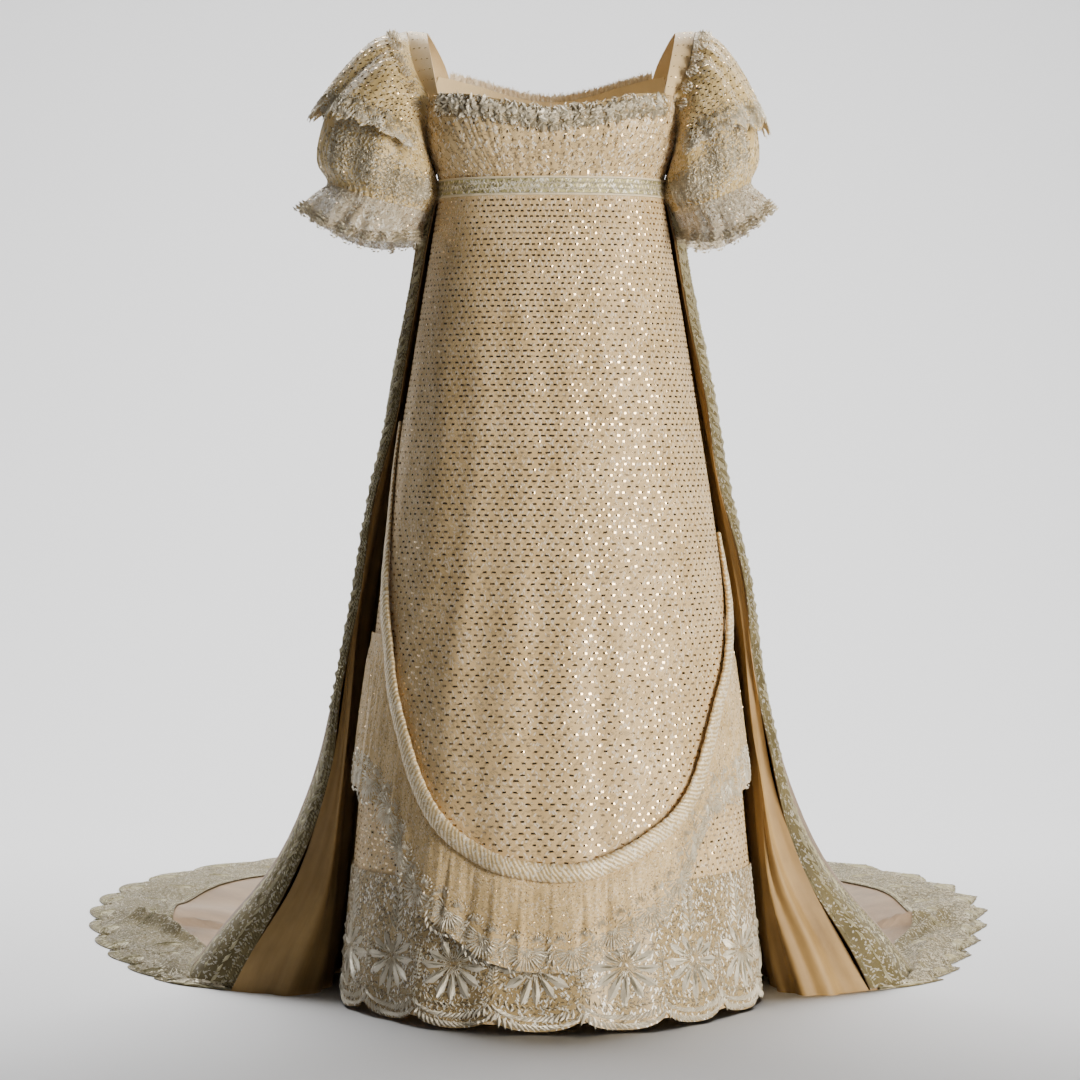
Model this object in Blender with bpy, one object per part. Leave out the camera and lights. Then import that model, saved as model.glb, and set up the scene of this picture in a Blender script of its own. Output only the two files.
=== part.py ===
"""A Regency court gown of silvered net over silk, with puffed sleeves and a lined train, in the form
it has when worn.

The gown faces -Y and +Z is up. Left and right are the wearer's, so the wearer's right is at -X. Heights
are worked out in metres above the floor; every object is then lowered by SHOULDER_HEIGHT, so the origin
is midway between the shoulders, where the wearer holds the gown up. Angles go round the body in degrees:
0 at the front, 90 at +X and 180 at the back.
Each cloth piece is a wall between a grid of points on its inner face and one on its outer face. Rows of
a grid run downwards and columns run to the right as seen from outside. The layers of the skirt share
their columns, a COLUMN apart, so that their flat facets stay parallel.
"""

from collections import namedtuple

import bmesh
import bpy
import numpy as np

# Driving dimensions, in metres
SHOULDER_HEIGHT = 1.300  # floor to the underside of the shoulder straps
WAIST_HEIGHT = 1.092  # the seam between bodice and skirt
BAND_HEIGHT = 0.025  # the waistband's width
HEM_HEIGHT = 0.004  # the underskirt's hem above the floor
SILK = 0.0015  # thickness of a lined silk wall
NET = 0.0010  # thickness of one net, tissue or satin layer
GAP = 0.0009  # between cloth layers that lie on each other
SEAM_GAP = 0.0004  # between pieces that meet edge to edge
SEAM_ANGLE = 0.16  # degrees left open at an upright seam
COLUMN = 7.5  # degrees between the columns of the pieces round the body
ROW_STEP = 0.003  # between rows that an edge squeezes together

# How far each layer's inner face stands out from the body surface
OVER_SKIRT = SILK + GAP + 0.0003
OVER_BORDER = OVER_SKIRT + NET + GAP
BAND_OUT = OVER_SKIRT
BAND_THICK = 0.0030
TRAIN_OUT = 0.0052

# The body surface: the inner face of bodice and skirt. It is straight between these heights, and each
# piece has a row of points at each of them. Squareness 2 is an ellipse.
Ring = namedtuple("Ring", "height half_width front back squareness")
BODY = (
    Ring(0.0000, 0.2795, 0.298, 0.248, 2.0),
    Ring(0.1860, 0.2635, 0.261, 0.238, 2.0),
    Ring(0.5300, 0.2325, 0.204, 0.211, 2.0),
    Ring(0.7700, 0.1985, 0.166, 0.178, 2.1),
    Ring(0.9400, 0.1705, 0.136, 0.138, 2.2),
    Ring(1.0300, 0.1560, 0.119, 0.110, 2.3),
    Ring(1.0795, 0.1490, 0.113, 0.101, 2.4),
    Ring(1.1045, 0.1490, 0.113, 0.101, 2.4),
    Ring(1.1500, 0.1640, 0.129, 0.105, 2.6),
    Ring(1.2100, 0.1710, 0.131, 0.106, 2.7),
    Ring(1.3000, 0.1720, 0.118, 0.100, 2.7),
)

# The skirt's largest folds: ridges, or troughs where the depth is negative, that fade out at top.
Fold = namedtuple("Fold", "angle half_width depth top")
SKIRT_FOLDS = (
    Fold(-150, 11, 0.012, 1.00),
    Fold(-112, 10, 0.010, 0.90),
    Fold(-70, 10, 0.006, 0.60),
    Fold(-50, 8, -0.007, 0.55),
    Fold(52, 8, -0.005, 0.50),
    Fold(72, 10, 0.005, 0.60),
    Fold(114, 10, 0.010, 0.90),
    Fold(152, 11, 0.012, 1.00),
)

# Edges of the pieces as heights at angles round the body
Edge = namedtuple("Edge", "angle height")
FRONT_TOP = (  # armhole, front corner, neckline, corner, armhole
    Edge(-90, 1.118),
    Edge(-82.5, 1.140),
    Edge(-75, 1.173),
    Edge(-67.5, 1.2135),
    Edge(-45, 1.209),
    Edge(-22.5, 1.198),
    Edge(0, 1.189),
    Edge(22.5, 1.196),
    Edge(45, 1.209),
    Edge(67.5, 1.2135),
    Edge(75, 1.173),
    Edge(82.5, 1.140),
    Edge(90, 1.118),
)
BACK_TOP = (  # armhole, back corner, neckline to the centre back
    Edge(90, 1.118),
    Edge(97.5, 1.146),
    Edge(105, 1.192),
    Edge(112.5, 1.2525),
    Edge(120, 1.2510),
    Edge(135, 1.242),
    Edge(150, 1.231),
    Edge(165, 1.224),
    Edge(180, 1.222),
)
TRIM_RISE, TRIM_DROP, TRIM_THICK = 0.003, 0.028, 0.003  # the trim above and below the front neckline
LACE_RISE, LACE_DROP = 0.012, 0.004  # the lace above and below the back neckline
STRAP_FOOT = (60.0, 67.5)  # the part of the front's top edge under each strap
STRAP_HEEL = (120.0, 112.5)  # and of the back's
ROLL_LINE = (  # the lower edge of the overskirt, where the roll is
    Edge(-90, 0.790),
    Edge(-85, 0.735),
    Edge(-80, 0.675),
    Edge(-74, 0.605),
    Edge(-68, 0.530),
    Edge(-60, 0.445),
    Edge(-52, 0.372),
    Edge(-43, 0.308),
    Edge(-32, 0.256),
    Edge(-20, 0.223),
    Edge(-5, 0.205),
    Edge(12, 0.208),
    Edge(20, 0.221),
    Edge(29, 0.242),
    Edge(40, 0.270),
    Edge(49, 0.312),
    Edge(59, 0.385),
    Edge(70, 0.455),
    Edge(80, 0.530),
    Edge(90, 0.640),
)
FRILL_EDGE = (  # the lower edge of the frill
    Edge(-104, 0.300),
    Edge(-85, 0.295),
    Edge(-64, 0.280),
    Edge(-58, 0.266),
    Edge(-52, 0.232),
    Edge(-46, 0.184),
    Edge(-40, 0.152),
    Edge(-32, 0.136),
    Edge(-20, 0.100),
    Edge(-5, 0.079),
    Edge(8, 0.086),
    Edge(20, 0.116),
    Edge(30, 0.140),
    Edge(37, 0.164),
    Edge(43, 0.206),
    Edge(49, 0.248),
    Edge(62, 0.276),
    Edge(85, 0.298),
    Edge(104, 0.302),
)
FRILL_TOP_MOST = 0.498  # the frill's upper corners at the sides
FRILL_END = 97.5  # degrees to each side
FRILL_HEADING = 0.036  # how far down it lies flat, under the roll
FRILL_LIFT, FRILL_FOLD_DEPTH = 0.0105, 0.006  # how far its lower edge stands out
ROLL_END, ROLL_RINGS = 89, 27
ROLL_HALF_WIDTH, ROLL_HALF_HEIGHT = 0.0135, 0.0044
ROLL_SLIM_FROM, ROLL_SLIM_TO = 0.50, 0.70  # it is thinner above these heights

SCALLOPS = 16  # round the skirt's hem, three columns each
SCALLOP_PHASE = 7.5  # degrees, a notch between two scallops
SCALLOP_TIP = 0.004
SCALLOP_DEPTH = 0.018
BORDER_TOP = 0.186

# The strap over the wearer's left shoulder from its foot to its heel: its inner and outer edges
Step = namedtuple("Step", "inner_x inner_y inner_z outer_x outer_y outer_z")
STRAP = (
    Step(0.1570, -0.0620, 1.2520, 0.1810, -0.0490, 1.2490),
    Step(0.1650, -0.0290, 1.2900, 0.1900, -0.0240, 1.2910),
    Step(0.1675, 0.0050, 1.3040, 0.1930, 0.0050, 1.3060),
    Step(0.1600, 0.0340, 1.2950, 0.1850, 0.0360, 1.2960),
    Step(0.1460, 0.0620, 1.2700, 0.1680, 0.0560, 1.2710),
)

# Sleeve sections for the wearer's right sleeve: the outermost and innermost points, half the depth front
# to back, and how far the front and the back hang below.
# Section 0 is the armhole itself, sections 1 to 5 are the puff and the rest is the frill below it.
Section = namedtuple("Section", "along outer_x outer_z inner_x inner_z half_depth droop")
SLEEVE = (
    Section(0, 0.2000, 1.3030, 0.1640, 1.1160, 0.066, 0.000),
    Section(1, 0.2330, 1.2890, 0.1830, 1.1040, 0.080, 0.000),
    Section(2, 0.2740, 1.2420, 0.1890, 1.0880, 0.088, 0.000),
    Section(3, 0.3000, 1.1880, 0.1910, 1.0750, 0.090, 0.000),
    Section(4, 0.3100, 1.1330, 0.1910, 1.0640, 0.088, 0.004),
    Section(5, 0.2990, 1.1030, 0.1915, 1.0540, 0.081, 0.008),
    Section(6, 0.3230, 1.0850, 0.1870, 1.0400, 0.092, 0.018),
    Section(7, 0.3450, 1.0660, 0.1840, 1.0280, 0.101, 0.031),
)
PUFF_ROWS = (0, 0.45, 1.2, 2.2, 3.2, 4.2, 5)
FRILL_ROWS = (5.03, 6, 7)
CAP_ROWS = (0.45, 1.2, 2.2, 2.9)
CAP_HALF_ANGLE = 112  # degrees of the puff that the cap covers to each side of its top
CAP_CORNER = 0.52  # share of its length that the cap has at its two ends
CAP_OUT = 0.0038  # the cap's inner face above the puff's at the seam
CAP_LIFT = 0.021  # and how much further out its free edge is
SLEEVE_SPREAD = {"right": 1.0, "left": 0.78}  # how far each sleeve stands out
SLEEVE_ROOT = 0.176  # the x from which it spreads
# Degrees round the sleeve from its top: of the armhole's points, and of the sleeve's columns
ARMHOLE_TURNS = (0, 28, 52, 75, 102, 140, 180, 220, 258, 290, 315, 338, 360)
SLEEVE_TURNS = (0, 14, 28, 40, 52, 64, 75, 88, 102, 140, 180, 220, 258, 274, 290, 302, 315, 326, 338, 349)
ARMHOLE_DROP = 0.002  # the sleeve's seam below the bodice's edge
ARMHOLE_GAP = 0.0009

# The train's panel and lining: each rib runs from the waist to where it touches the floor and on to the
# hem. The lining comes down nearer the skirt than the panel does. Share 0 is the front edge and share 1
# the centre back.
Rib = namedtuple("Rib", "share waist_angle lining_x lining_y panel_x panel_y hem_x hem_y")
RIBS = (
    Rib(0.00, 86, 0.438, 0.045, 0.438, 0.045, 0.466, 0.058),
    Rib(0.07, 94, 0.400, 0.022, 0.485, 0.080, 0.520, 0.115),
    Rib(0.16, 102, 0.352, 0.006, 0.506, 0.180, 0.566, 0.240),
    Rib(0.26, 110, 0.312, 0.045, 0.502, 0.290, 0.613, 0.405),
    Rib(0.36, 118, 0.310, 0.130, 0.478, 0.390, 0.656, 0.600),
    Rib(0.46, 126, 0.304, 0.215, 0.438, 0.480, 0.682, 0.800),
    Rib(0.56, 135, 0.280, 0.295, 0.376, 0.555, 0.677, 0.985),
    Rib(0.66, 144, 0.236, 0.360, 0.303, 0.615, 0.636, 1.150),
    Rib(0.76, 153, 0.178, 0.405, 0.222, 0.662, 0.548, 1.315),
    Rib(0.86, 162, 0.113, 0.435, 0.137, 0.698, 0.395, 1.450),
    Rib(0.93, 170, 0.058, 0.447, 0.067, 0.716, 0.215, 1.525),
    Rib(1.00, 180, 0.000, 0.452, 0.000, 0.722, 0.000, 1.550),
)
HEM_LEAN = 0.016  # how far the hem lies towards the wearer's right
Drape = namedtuple("Drape", "drop share")  # how far out a rib is at each share of its drop
DRAPE = (
    Drape(0.00, 0.00),
    Drape(0.11, 0.068),
    Drape(0.25, 0.178),
    Drape(0.45, 0.325),
    Drape(0.60, 0.425),
    Drape(0.75, 0.545),
    Drape(0.86, 0.700),
    Drape(0.95, 0.900),
    Drape(1.00, 1.000),
)
TRAIN_TOP = WAIST_HEIGHT - BAND_HEIGHT / 2 - SEAM_GAP
TRAIN_COLUMNS = 11  # on each side, the last at the centre back
TRAIN_EDGE = 0.07  # share of each side that the band down the front edge covers
TRAIN_ROWS = (0, 0.13, 0.3, 0.5, 0.7, 0.86, 1, 1.5, 2)  # 1 is where it touches the floor, 2 is the hem
PANEL_LIFT = 0.0024  # the panel's inner face above the lining's outer face
FOLDS = {"panel": (7, 0.022), "lining": (11, 0.010)}  # how many and how deep
PANEL_BULGE = 0.022  # how far the panel swells beyond its front edge below the waist
OFF_SKIRT_TOP, OFF_SKIRT_LOW = 0.0075, 0.030  # the least room between the skirt and the train
TONGUES = 25  # round the train's hem
TONGUE_LENGTH = 0.035
HEM_BORDER_WIDTH = 0.125


def through(rows, column, at, key=0):
    """A smooth curve through one column of a table, with slopes that come from the neighbouring rows."""
    keys = np.array([row[key] for row in rows])
    values = np.array([getattr(row, column) for row in rows])
    slopes = np.gradient(values, keys)
    at = np.clip(at, keys[0], keys[-1])
    i = np.clip(np.searchsorted(keys, at, side="right") - 1, 0, len(keys) - 2)
    span = keys[i + 1] - keys[i]
    t = (at - keys[i]) / span
    return (
        values[i] * (1 + 2 * t) * (1 - t) ** 2
        + values[i + 1] * t**2 * (3 - 2 * t)
        + span * slopes[i] * t * (1 - t) ** 2
        - span * slopes[i + 1] * t**2 * (1 - t)
    )


def straight(rows, at):
    """The height of an edge at these angles, in straight pieces, so that its corners stay sharp."""
    return np.interp(at, [row.angle for row in rows], [row.height for row in rows])


def fold_depth(angle, height):
    """How far the skirt's folds move its surface out or in."""
    angle = (angle + 180) % 360 - 180
    total = np.zeros(np.broadcast(angle, height).shape)
    for fold in SKIRT_FOLDS:
        down = np.clip((fold.top - height) / fold.top, 0, 1)
        total += fold.depth * down**1.3 * np.exp(-(((angle - fold.angle) / fold.half_width) ** 2))
    return total


def body_point(angle, height, out=0.0):
    """The point of the body surface at an angle and a height, moved out level by a distance."""
    angle, height = np.broadcast_arrays(np.asarray(angle, float), np.asarray(height, float))
    sine, cosine = np.sin(np.radians(angle)), np.cos(np.radians(angle))
    levels, half_width, front, back, power = np.array(BODY).T
    upper = np.clip(np.searchsorted(levels, height), 1, len(levels) - 1)
    radii = []
    for i in (upper - 1, upper):
        along = np.abs(cosine) / np.where(cosine > 0, front[i], back[i])
        across = np.abs(sine) / half_width[i]
        radii.append((across ** power[i] + along ** power[i]) ** (-1 / power[i]))
    share = (height - levels[upper - 1]) / (levels[upper] - levels[upper - 1])
    radius = radii[0] * (1 - share) + radii[1] * share + out + fold_depth(angle, height)
    return np.stack([radius * sine, -radius * cosine, height], axis=-1)


def columns_between(start, end):
    """The shared columns from one angle to another, with half a seam left open at each end."""
    angles = np.arange(start, end + COLUMN / 2, COLUMN)
    angles[0] += SEAM_ANGLE / 2
    angles[-1] -= SEAM_ANGLE / 2
    return angles


def body_wall(name, angles, top, bottom, out, thickness, material, mirror=False):
    """A cloth wall round the body between two edges, with a row at each ring of the body between them."""
    top, bottom = top + 0 * angles, bottom + 0 * angles
    low, high = bottom.min() + ROW_STEP, top.max() - ROW_STEP
    levels = [ring.height for ring in BODY if low < ring.height < high][::-1]
    heights = [top]
    for i, level in enumerate(levels):
        lowest = bottom + ROW_STEP * (len(levels) - i)
        heights.append(np.maximum(np.minimum(level, top - ROW_STEP * (i + 1)), lowest))
    heights = np.array(heights + [bottom])
    grids = [body_point(angles + 0 * heights, heights, out + extra) for extra in (0, thickness)]
    return wall(name, *(mirrored(*grids) if mirror else grids), material)


def normals(grid, closed=False):
    """The outward direction at each point of a grid. A closed grid's last column is next to its first."""
    wrapped = np.concatenate([grid[:, -1:], grid, grid[:, :1]], axis=1) if closed else grid
    normal = np.cross(np.gradient(wrapped, axis=0), np.gradient(wrapped, axis=1))
    normal = normal[:, 1:-1] if closed else normal
    return normal / np.linalg.norm(normal, axis=2, keepdims=True)


def mirrored(*grids):
    """The same grids on the other side of the body, with their columns reversed so that they face out."""
    return [grid[:, ::-1] * np.array([-1, 1, 1]) for grid in grids]


def new_material(name, colour, roughness, metallic=0.0):
    material = bpy.data.materials.new(name)
    material.use_nodes = True
    shader = material.node_tree.nodes["Principled BSDF"]
    shader.inputs["Base Color"].default_value = (*colour, 1)
    shader.inputs["Roughness"].default_value = roughness
    shader.inputs["Metallic"].default_value = metallic
    return material


def new_object(name, bm, material):
    mesh = bpy.data.meshes.new(name)
    bm.to_mesh(mesh)
    bm.free()
    mesh.materials.append(material)
    mesh.shade_smooth()
    obj = bpy.data.objects.new(name, mesh)
    obj.location.z = -SHOULDER_HEIGHT
    bpy.context.scene.collection.objects.link(obj)
    return obj


def wall(name, inner, outer, material, closed=False):
    """A cloth wall between two grids of the same shape. A closed one joins its last column to its first."""
    bm = bmesh.new()
    inside = [[bm.verts.new(point) for point in row] for row in inner]
    outside = [[bm.verts.new(point) for point in row] for row in outer]
    last_row, columns = len(inner) - 1, len(inner[0])
    for j in range(columns if closed else columns - 1):
        k = (j + 1) % columns
        for i in range(last_row):
            bm.faces.new((outside[i][j], outside[i + 1][j], outside[i + 1][k], outside[i][k]))
            bm.faces.new((inside[i][j], inside[i][k], inside[i + 1][k], inside[i + 1][j]))
        bm.faces.new((inside[0][j], outside[0][j], outside[0][k], inside[0][k]))
        bm.faces.new((inside[-1][j], inside[-1][k], outside[-1][k], outside[-1][j]))
    if not closed:
        for i in range(last_row):
            bm.faces.new((inside[i][0], inside[i + 1][0], outside[i + 1][0], outside[i][0]))
            bm.faces.new((inside[i][-1], outside[i][-1], outside[i + 1][-1], inside[i + 1][-1]))
    return new_object(name, bm, material)


def roll(name, path, outward, half_widths, half_heights, sides, material):
    """A padded roll: an oval section that lies on the cloth, carried along a path."""
    across = np.cross(outward, np.gradient(path, axis=0))
    across /= np.linalg.norm(across, axis=1, keepdims=True)
    turn = np.linspace(0, 2 * np.pi, sides, endpoint=False)
    rings = (
        path[:, None]
        + (half_widths[:, None] * np.cos(turn))[:, :, None] * across[:, None]
        + (half_heights[:, None] * np.sin(turn))[:, :, None] * outward[:, None]
    )
    bm = bmesh.new()
    verts = [[bm.verts.new(point) for point in ring] for ring in rings]
    for ring, after in zip(verts, verts[1:]):
        for j in range(sides):
            k = (j + 1) % sides
            bm.faces.new((ring[j], ring[k], after[k], after[j]))
    bm.faces.new(verts[0][::-1])
    bm.faces.new(verts[-1])
    bmesh.ops.recalc_face_normals(bm, faces=bm.faces)
    return new_object(name, bm, material)


def make_skirt(material):
    """The underskirt's four panels, from the waist seam to the hem."""
    top = WAIST_HEIGHT - SEAM_GAP
    for name, start, end in (
        ("skirt_front", -52.5, 52.5),
        ("skirt_side_left", 52.5, 127.5),
        ("skirt_back", 127.5, 232.5),
        ("skirt_side_right", 232.5, 307.5),
    ):
        body_wall(name, columns_between(start, end), top, HEM_HEIGHT, 0, SILK, material)


def scallop_height(angle):
    """The hem border's lower edge: round scallops with sharp notches."""
    across = 2 * (((angle - SCALLOP_PHASE) * SCALLOPS / 360) % 1) - 1
    return SCALLOP_TIP + SCALLOP_DEPTH * (1 - np.sqrt(np.clip(1 - across**2, 0, 1)))


def make_hem_borders(material):
    """The scalloped net border round the hem, in a front and a back half that meet between scallops."""
    for name, start, end in (("hem_border_front", -82.5, 97.5), ("hem_border_back", 97.5, 277.5)):
        angles = columns_between(start, end)
        body_wall(name, angles, BORDER_TOP, scallop_height(angles), OVER_SKIRT, NET, material)


def make_overskirt(net, satin):
    """The net apron, and the padded roll on its curved lower edge."""
    band_bottom = WAIST_HEIGHT - BAND_HEIGHT / 2 - SEAM_GAP
    angles = columns_between(-90, 90)
    line = through(ROLL_LINE, "height", angles)
    body_wall("overskirt", angles, band_bottom, line, OVER_SKIRT, NET, net)

    angles = np.linspace(-ROLL_END, ROLL_END, ROLL_RINGS)
    line = through(ROLL_LINE, "height", angles)
    slim = step_between(ROLL_SLIM_FROM, ROLL_SLIM_TO, line)  # it thins at the sides, where the frill ends
    half_heights = ROLL_HALF_HEIGHT * (1 - slim / 2)
    half_widths = ROLL_HALF_WIDTH * (1 - slim / 5)
    out = (OVER_BORDER + NET + GAP + SEAM_GAP) * (1 - slim) + OVER_BORDER * slim + half_heights
    path = body_point(angles, line, out)
    outward = path - body_point(angles, line, out - 0.01)
    outward /= np.linalg.norm(outward, axis=1, keepdims=True)
    roll("overskirt_roll", path, outward, half_widths, half_heights, 6, satin)


def make_frill(net):
    """The gathered flounce from the roll to its own lower edge, standing out in folds."""
    angles = np.arange(-FRILL_END, FRILL_END + COLUMN / 2, COLUMN / 2)
    top = np.minimum(through(ROLL_LINE, "height", angles) - 0.004, FRILL_TOP_MOST)
    bottom = through(FRILL_EDGE, "height", angles)
    under_roll = top - np.minimum(FRILL_HEADING, 0.3 * (top - bottom))
    heights = np.array([top, under_roll, (under_roll + bottom) / 2, bottom])
    share = np.array([0, 0, 0.55, 1.0])[:, None]
    folds = 0.5 + 0.5 * np.cos(np.pi * angles / COLUMN)
    out = OVER_BORDER + (FRILL_LIFT + FRILL_FOLD_DEPTH * folds) * share
    angles = angles + 0 * heights
    wall("frill", body_point(angles, heights, out), body_point(angles, heights, out + NET), net)


def make_bodice(silk, trim, lace, ribbon):
    """The front and the two back halves, the trims on their neck edges, and the band over the waist seam."""
    angles = columns_between(-90, 90)
    body_wall("bodice_front", angles, straight(FRONT_TOP, angles), WAIST_HEIGHT, 0, SILK, silk)
    neck = np.arange(-60, 61, COLUMN)
    top = straight(FRONT_TOP, neck)
    body_wall("neck_trim", neck, top + TRIM_RISE, top - TRIM_DROP, SILK + GAP, TRIM_THICK, trim)

    angles, edge = columns_between(90, 180), columns_between(120, 180)
    for side in ("left", "right"):
        mirror = side == "right"
        top = straight(BACK_TOP, angles)
        body_wall("bodice_back_" + side, angles, top, WAIST_HEIGHT, 0, SILK, silk, mirror)
        top = straight(BACK_TOP, edge)
        rise, drop = top + LACE_RISE, top - LACE_DROP
        body_wall("neck_lace_" + side, edge, rise, drop, SILK + GAP, NET, lace, mirror)

    top, bottom = WAIST_HEIGHT + BAND_HEIGHT / 2, WAIST_HEIGHT - BAND_HEIGHT / 2
    body_wall("waistband", columns_between(-180, 180), top, bottom, BAND_OUT, BAND_THICK, ribbon)


def make_straps(silk):
    """A band over each shoulder, from the top edge of the front to that of the back."""
    foot = body_point(np.array(STRAP_FOOT), straight(FRONT_TOP, STRAP_FOOT) + SEAM_GAP)
    heel = body_point(np.array(STRAP_HEEL), straight(BACK_TOP, STRAP_HEEL) + SEAM_GAP)
    steps = np.array(STRAP)
    inner_edge = np.vstack([foot[:1], steps[:, :3], heel[:1]])
    outer_edge = np.vstack([foot[1:], steps[:, 3:], heel[1:]])
    # Rows from the inner to the outer edge, columns from front to back: the faces point up and out
    grid = np.stack([inner_edge, (inner_edge + outer_edge) / 2 + (0, 0, 0.0008), outer_edge])
    lift = normals(grid)
    lift[:, (0, -1), 2] = 0  # level at both ends, like the edges they meet
    lift /= np.linalg.norm(lift, axis=2, keepdims=True)
    outer = grid + SILK * lift
    wall("strap_left", grid, outer, silk)
    wall("strap_right", *mirrored(grid, outer), silk)


def armhole(out):
    """The wearer's right armhole from the top of the shoulder round by the front, moved out."""
    steps = np.array(STRAP)[:, 3:]
    front, back = np.array([67.5, 75, 82.5, 90]), np.array([97.5, 105, 112.5])
    front = body_point(front, straight(FRONT_TOP, front) - ARMHOLE_DROP, SILK + out)
    back = body_point(back, straight(BACK_TOP, back) - ARMHOLE_DROP, SILK + out)
    over = steps + np.array([0.8, 0, 0.6]) * (SILK + out)  # up and outwards
    points = np.vstack([over[2::-1], front, back, over[:1:-1]])
    return points * np.array([-1, 1, 1])


def sleeve_point(along, turn, spread, out=0.0):
    """A point of the wearer's right sleeve. turn goes round it in degrees from its top, forwards first."""
    along, turn = np.broadcast_arrays(np.asarray(along, float), np.asarray(turn, float) % 360)
    outer_x = SLEEVE_ROOT + (through(SLEEVE, "outer_x", along) - SLEEVE_ROOT) * spread
    outer_z = through(SLEEVE, "outer_z", along)
    inner_x = through(SLEEVE, "inner_x", along)
    inner_z = through(SLEEVE, "inner_z", along)
    half_x, half_z = (outer_x - inner_x) / 2, (outer_z - inner_z) / 2
    grow = (1 + out / np.hypot(half_x, half_z)) * np.cos(np.radians(turn))
    depth = (through(SLEEVE, "half_depth", along) + out) * np.sin(np.radians(turn))
    z = (outer_z + inner_z) / 2 + half_z * grow
    z = z - through(SLEEVE, "droop", along) * np.sin(np.radians(turn)) ** 2
    free = np.stack([-(outer_x + inner_x) / 2 - half_x * grow, -depth, z], axis=-1)
    # Near section 0 the sleeve takes the shape of the armhole
    hole = armhole(ARMHOLE_GAP)
    hole = np.stack([np.interp(turn, ARMHOLE_TURNS, hole[:, axis]) for axis in range(3)], axis=-1)
    blend = np.clip(1 - along, 0, 1)[..., None] ** 1.3
    return free * (1 - blend) + hole * blend


def make_sleeve(side, silk, net):
    """One sleeve: the puff from the armhole to its band, the cap over its head, and the frill below."""
    spread = SLEEVE_SPREAD[side]

    def place(name, along, turn, out, thickness, material, closed=False):
        inner = sleeve_point(along, turn, spread, out)
        outer = inner + thickness * normals(inner, closed)
        pair = (inner, outer) if side == "right" else mirrored(inner, outer)
        wall(f"sleeve_{name}_{side}", *pair, material, closed)

    # Turning backwards, the columns run to the right as seen from outside the wearer's right sleeve
    turns = np.array(SLEEVE_TURNS[::-1], float)
    place("puff", np.array(PUFF_ROWS)[:, None], turns, 0, SILK, silk, closed=True)
    place("frill", np.array(FRILL_ROWS)[:, None], turns, 0, NET, net, closed=True)

    around = (turns + 180) % 360 - 180
    over = np.sort(around[np.abs(around) < CAP_HALF_ANGLE])[::-1]
    along = np.array(CAP_ROWS)[:, None]
    share = (along - CAP_ROWS[0]) / (CAP_ROWS[-1] - CAP_ROWS[0])
    along = along - 0.2 * (np.arange(len(over)) % 2) * (share == 1)
    shorter = 1 - (1 - CAP_CORNER) * (over / CAP_HALF_ANGLE) ** 2
    along = CAP_ROWS[0] + (along - CAP_ROWS[0]) * shorter
    place("cap", along, over, CAP_OUT + CAP_LIFT * share**2, NET, net)


def rib_line(name, across):
    """A line of the ribs table on the floor. across is -1 at the train's right edge and 1 at its left."""
    share, side = 1 - np.abs(across), np.where(across < 0, -1.0, 1.0)
    x, y = through(RIBS, name + "_x", share) * side, through(RIBS, name + "_y", share)
    return np.stack([x - HEM_LEAN * step_between(0, 0.3, share) * (name == "hem"), y], axis=-1)


def step_between(low, high, value):
    """Rises smoothly from 0 to 1 as a value goes from low to high."""
    t = np.clip((value - low) / (high - low), 0, 1)
    return t * t * (3 - 2 * t)


def train_base(across, down, layer):
    """The train without folds. down is 0 to 1 from waist to floor and 1 to 2 along the floor to the hem."""
    share, drop, run = 1 - np.abs(across), np.clip(down, 0, 1), np.clip(down - 1, 0, 1)
    side = np.where(across < 0, -1.0, 1.0)
    waist = body_point(side * through(RIBS, "waist_angle", share), TRAIN_TOP, TRAIN_OUT)[..., :2]
    touch, hem = rib_line(layer, across), rib_line("hem", across)
    # The panel's ribs leave the body later than its front edge does, then swing out further
    spread = through(DRAPE, "share", drop)
    if layer == "panel":
        spread = spread ** (1 + 0.2 * step_between(0, 0.08, share))
    level = waist + (touch - waist) * spread[..., None] + (hem - touch) * run[..., None]
    if layer == "panel":
        swell = step_between(0, 0.05, drop) * (1 - step_between(0.15, 0.5, drop))
        swell = swell * np.sin(np.pi * np.clip(share / 0.3, 0, 1))
        level[..., 0] += side * PANEL_BULGE * swell
    # It leans on the skirt where it would fall inside it
    height = TRAIN_TOP * (1 - drop)
    angle = np.degrees(np.arctan2(level[..., 0], -level[..., 1]))
    lower = 1 - step_between(0.45, 0.85, height)
    room = OFF_SKIRT_TOP + (OFF_SKIRT_LOW - OFF_SKIRT_TOP) * lower
    least = np.linalg.norm(body_point(angle, height, room)[..., :2], axis=-1)
    radius = np.linalg.norm(level, axis=-1)
    pushed = (radius**40 + least**40) ** (1 / 40) / radius - 1
    level = level * (1 + pushed * step_between(0, 0.05, drop) * (1 - step_between(0, 0.1, run)))[..., None]
    return np.concatenate([level, height[..., None]], axis=-1)


def train_point(across, down, layer):
    """The inner face of the train's panel or lining, with its folds."""
    across, down = np.broadcast_arrays(np.asarray(across, float), np.asarray(down, float))
    folds, depth = FOLDS[layer]
    base = train_base(across, down, layer)
    ahead = train_base(np.minimum(across + 0.01, 1), down, layer)
    ahead = ahead - train_base(np.maximum(across - 0.01, -1), down, layer)
    level = np.stack([ahead[..., 1], -ahead[..., 0]], axis=-1)
    level = -level / np.linalg.norm(level, axis=-1, keepdims=True)
    # Folds swell between waist and floor, and fade towards the front edges
    swell = np.sin(np.pi * np.clip(down, 0, 1)) * (1 - np.abs(across) ** 12)
    wave = 0.5 - 0.5 * np.cos(np.pi * across * folds)
    base[..., :2] += depth * (swell * wave)[..., None] * level
    return base


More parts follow.
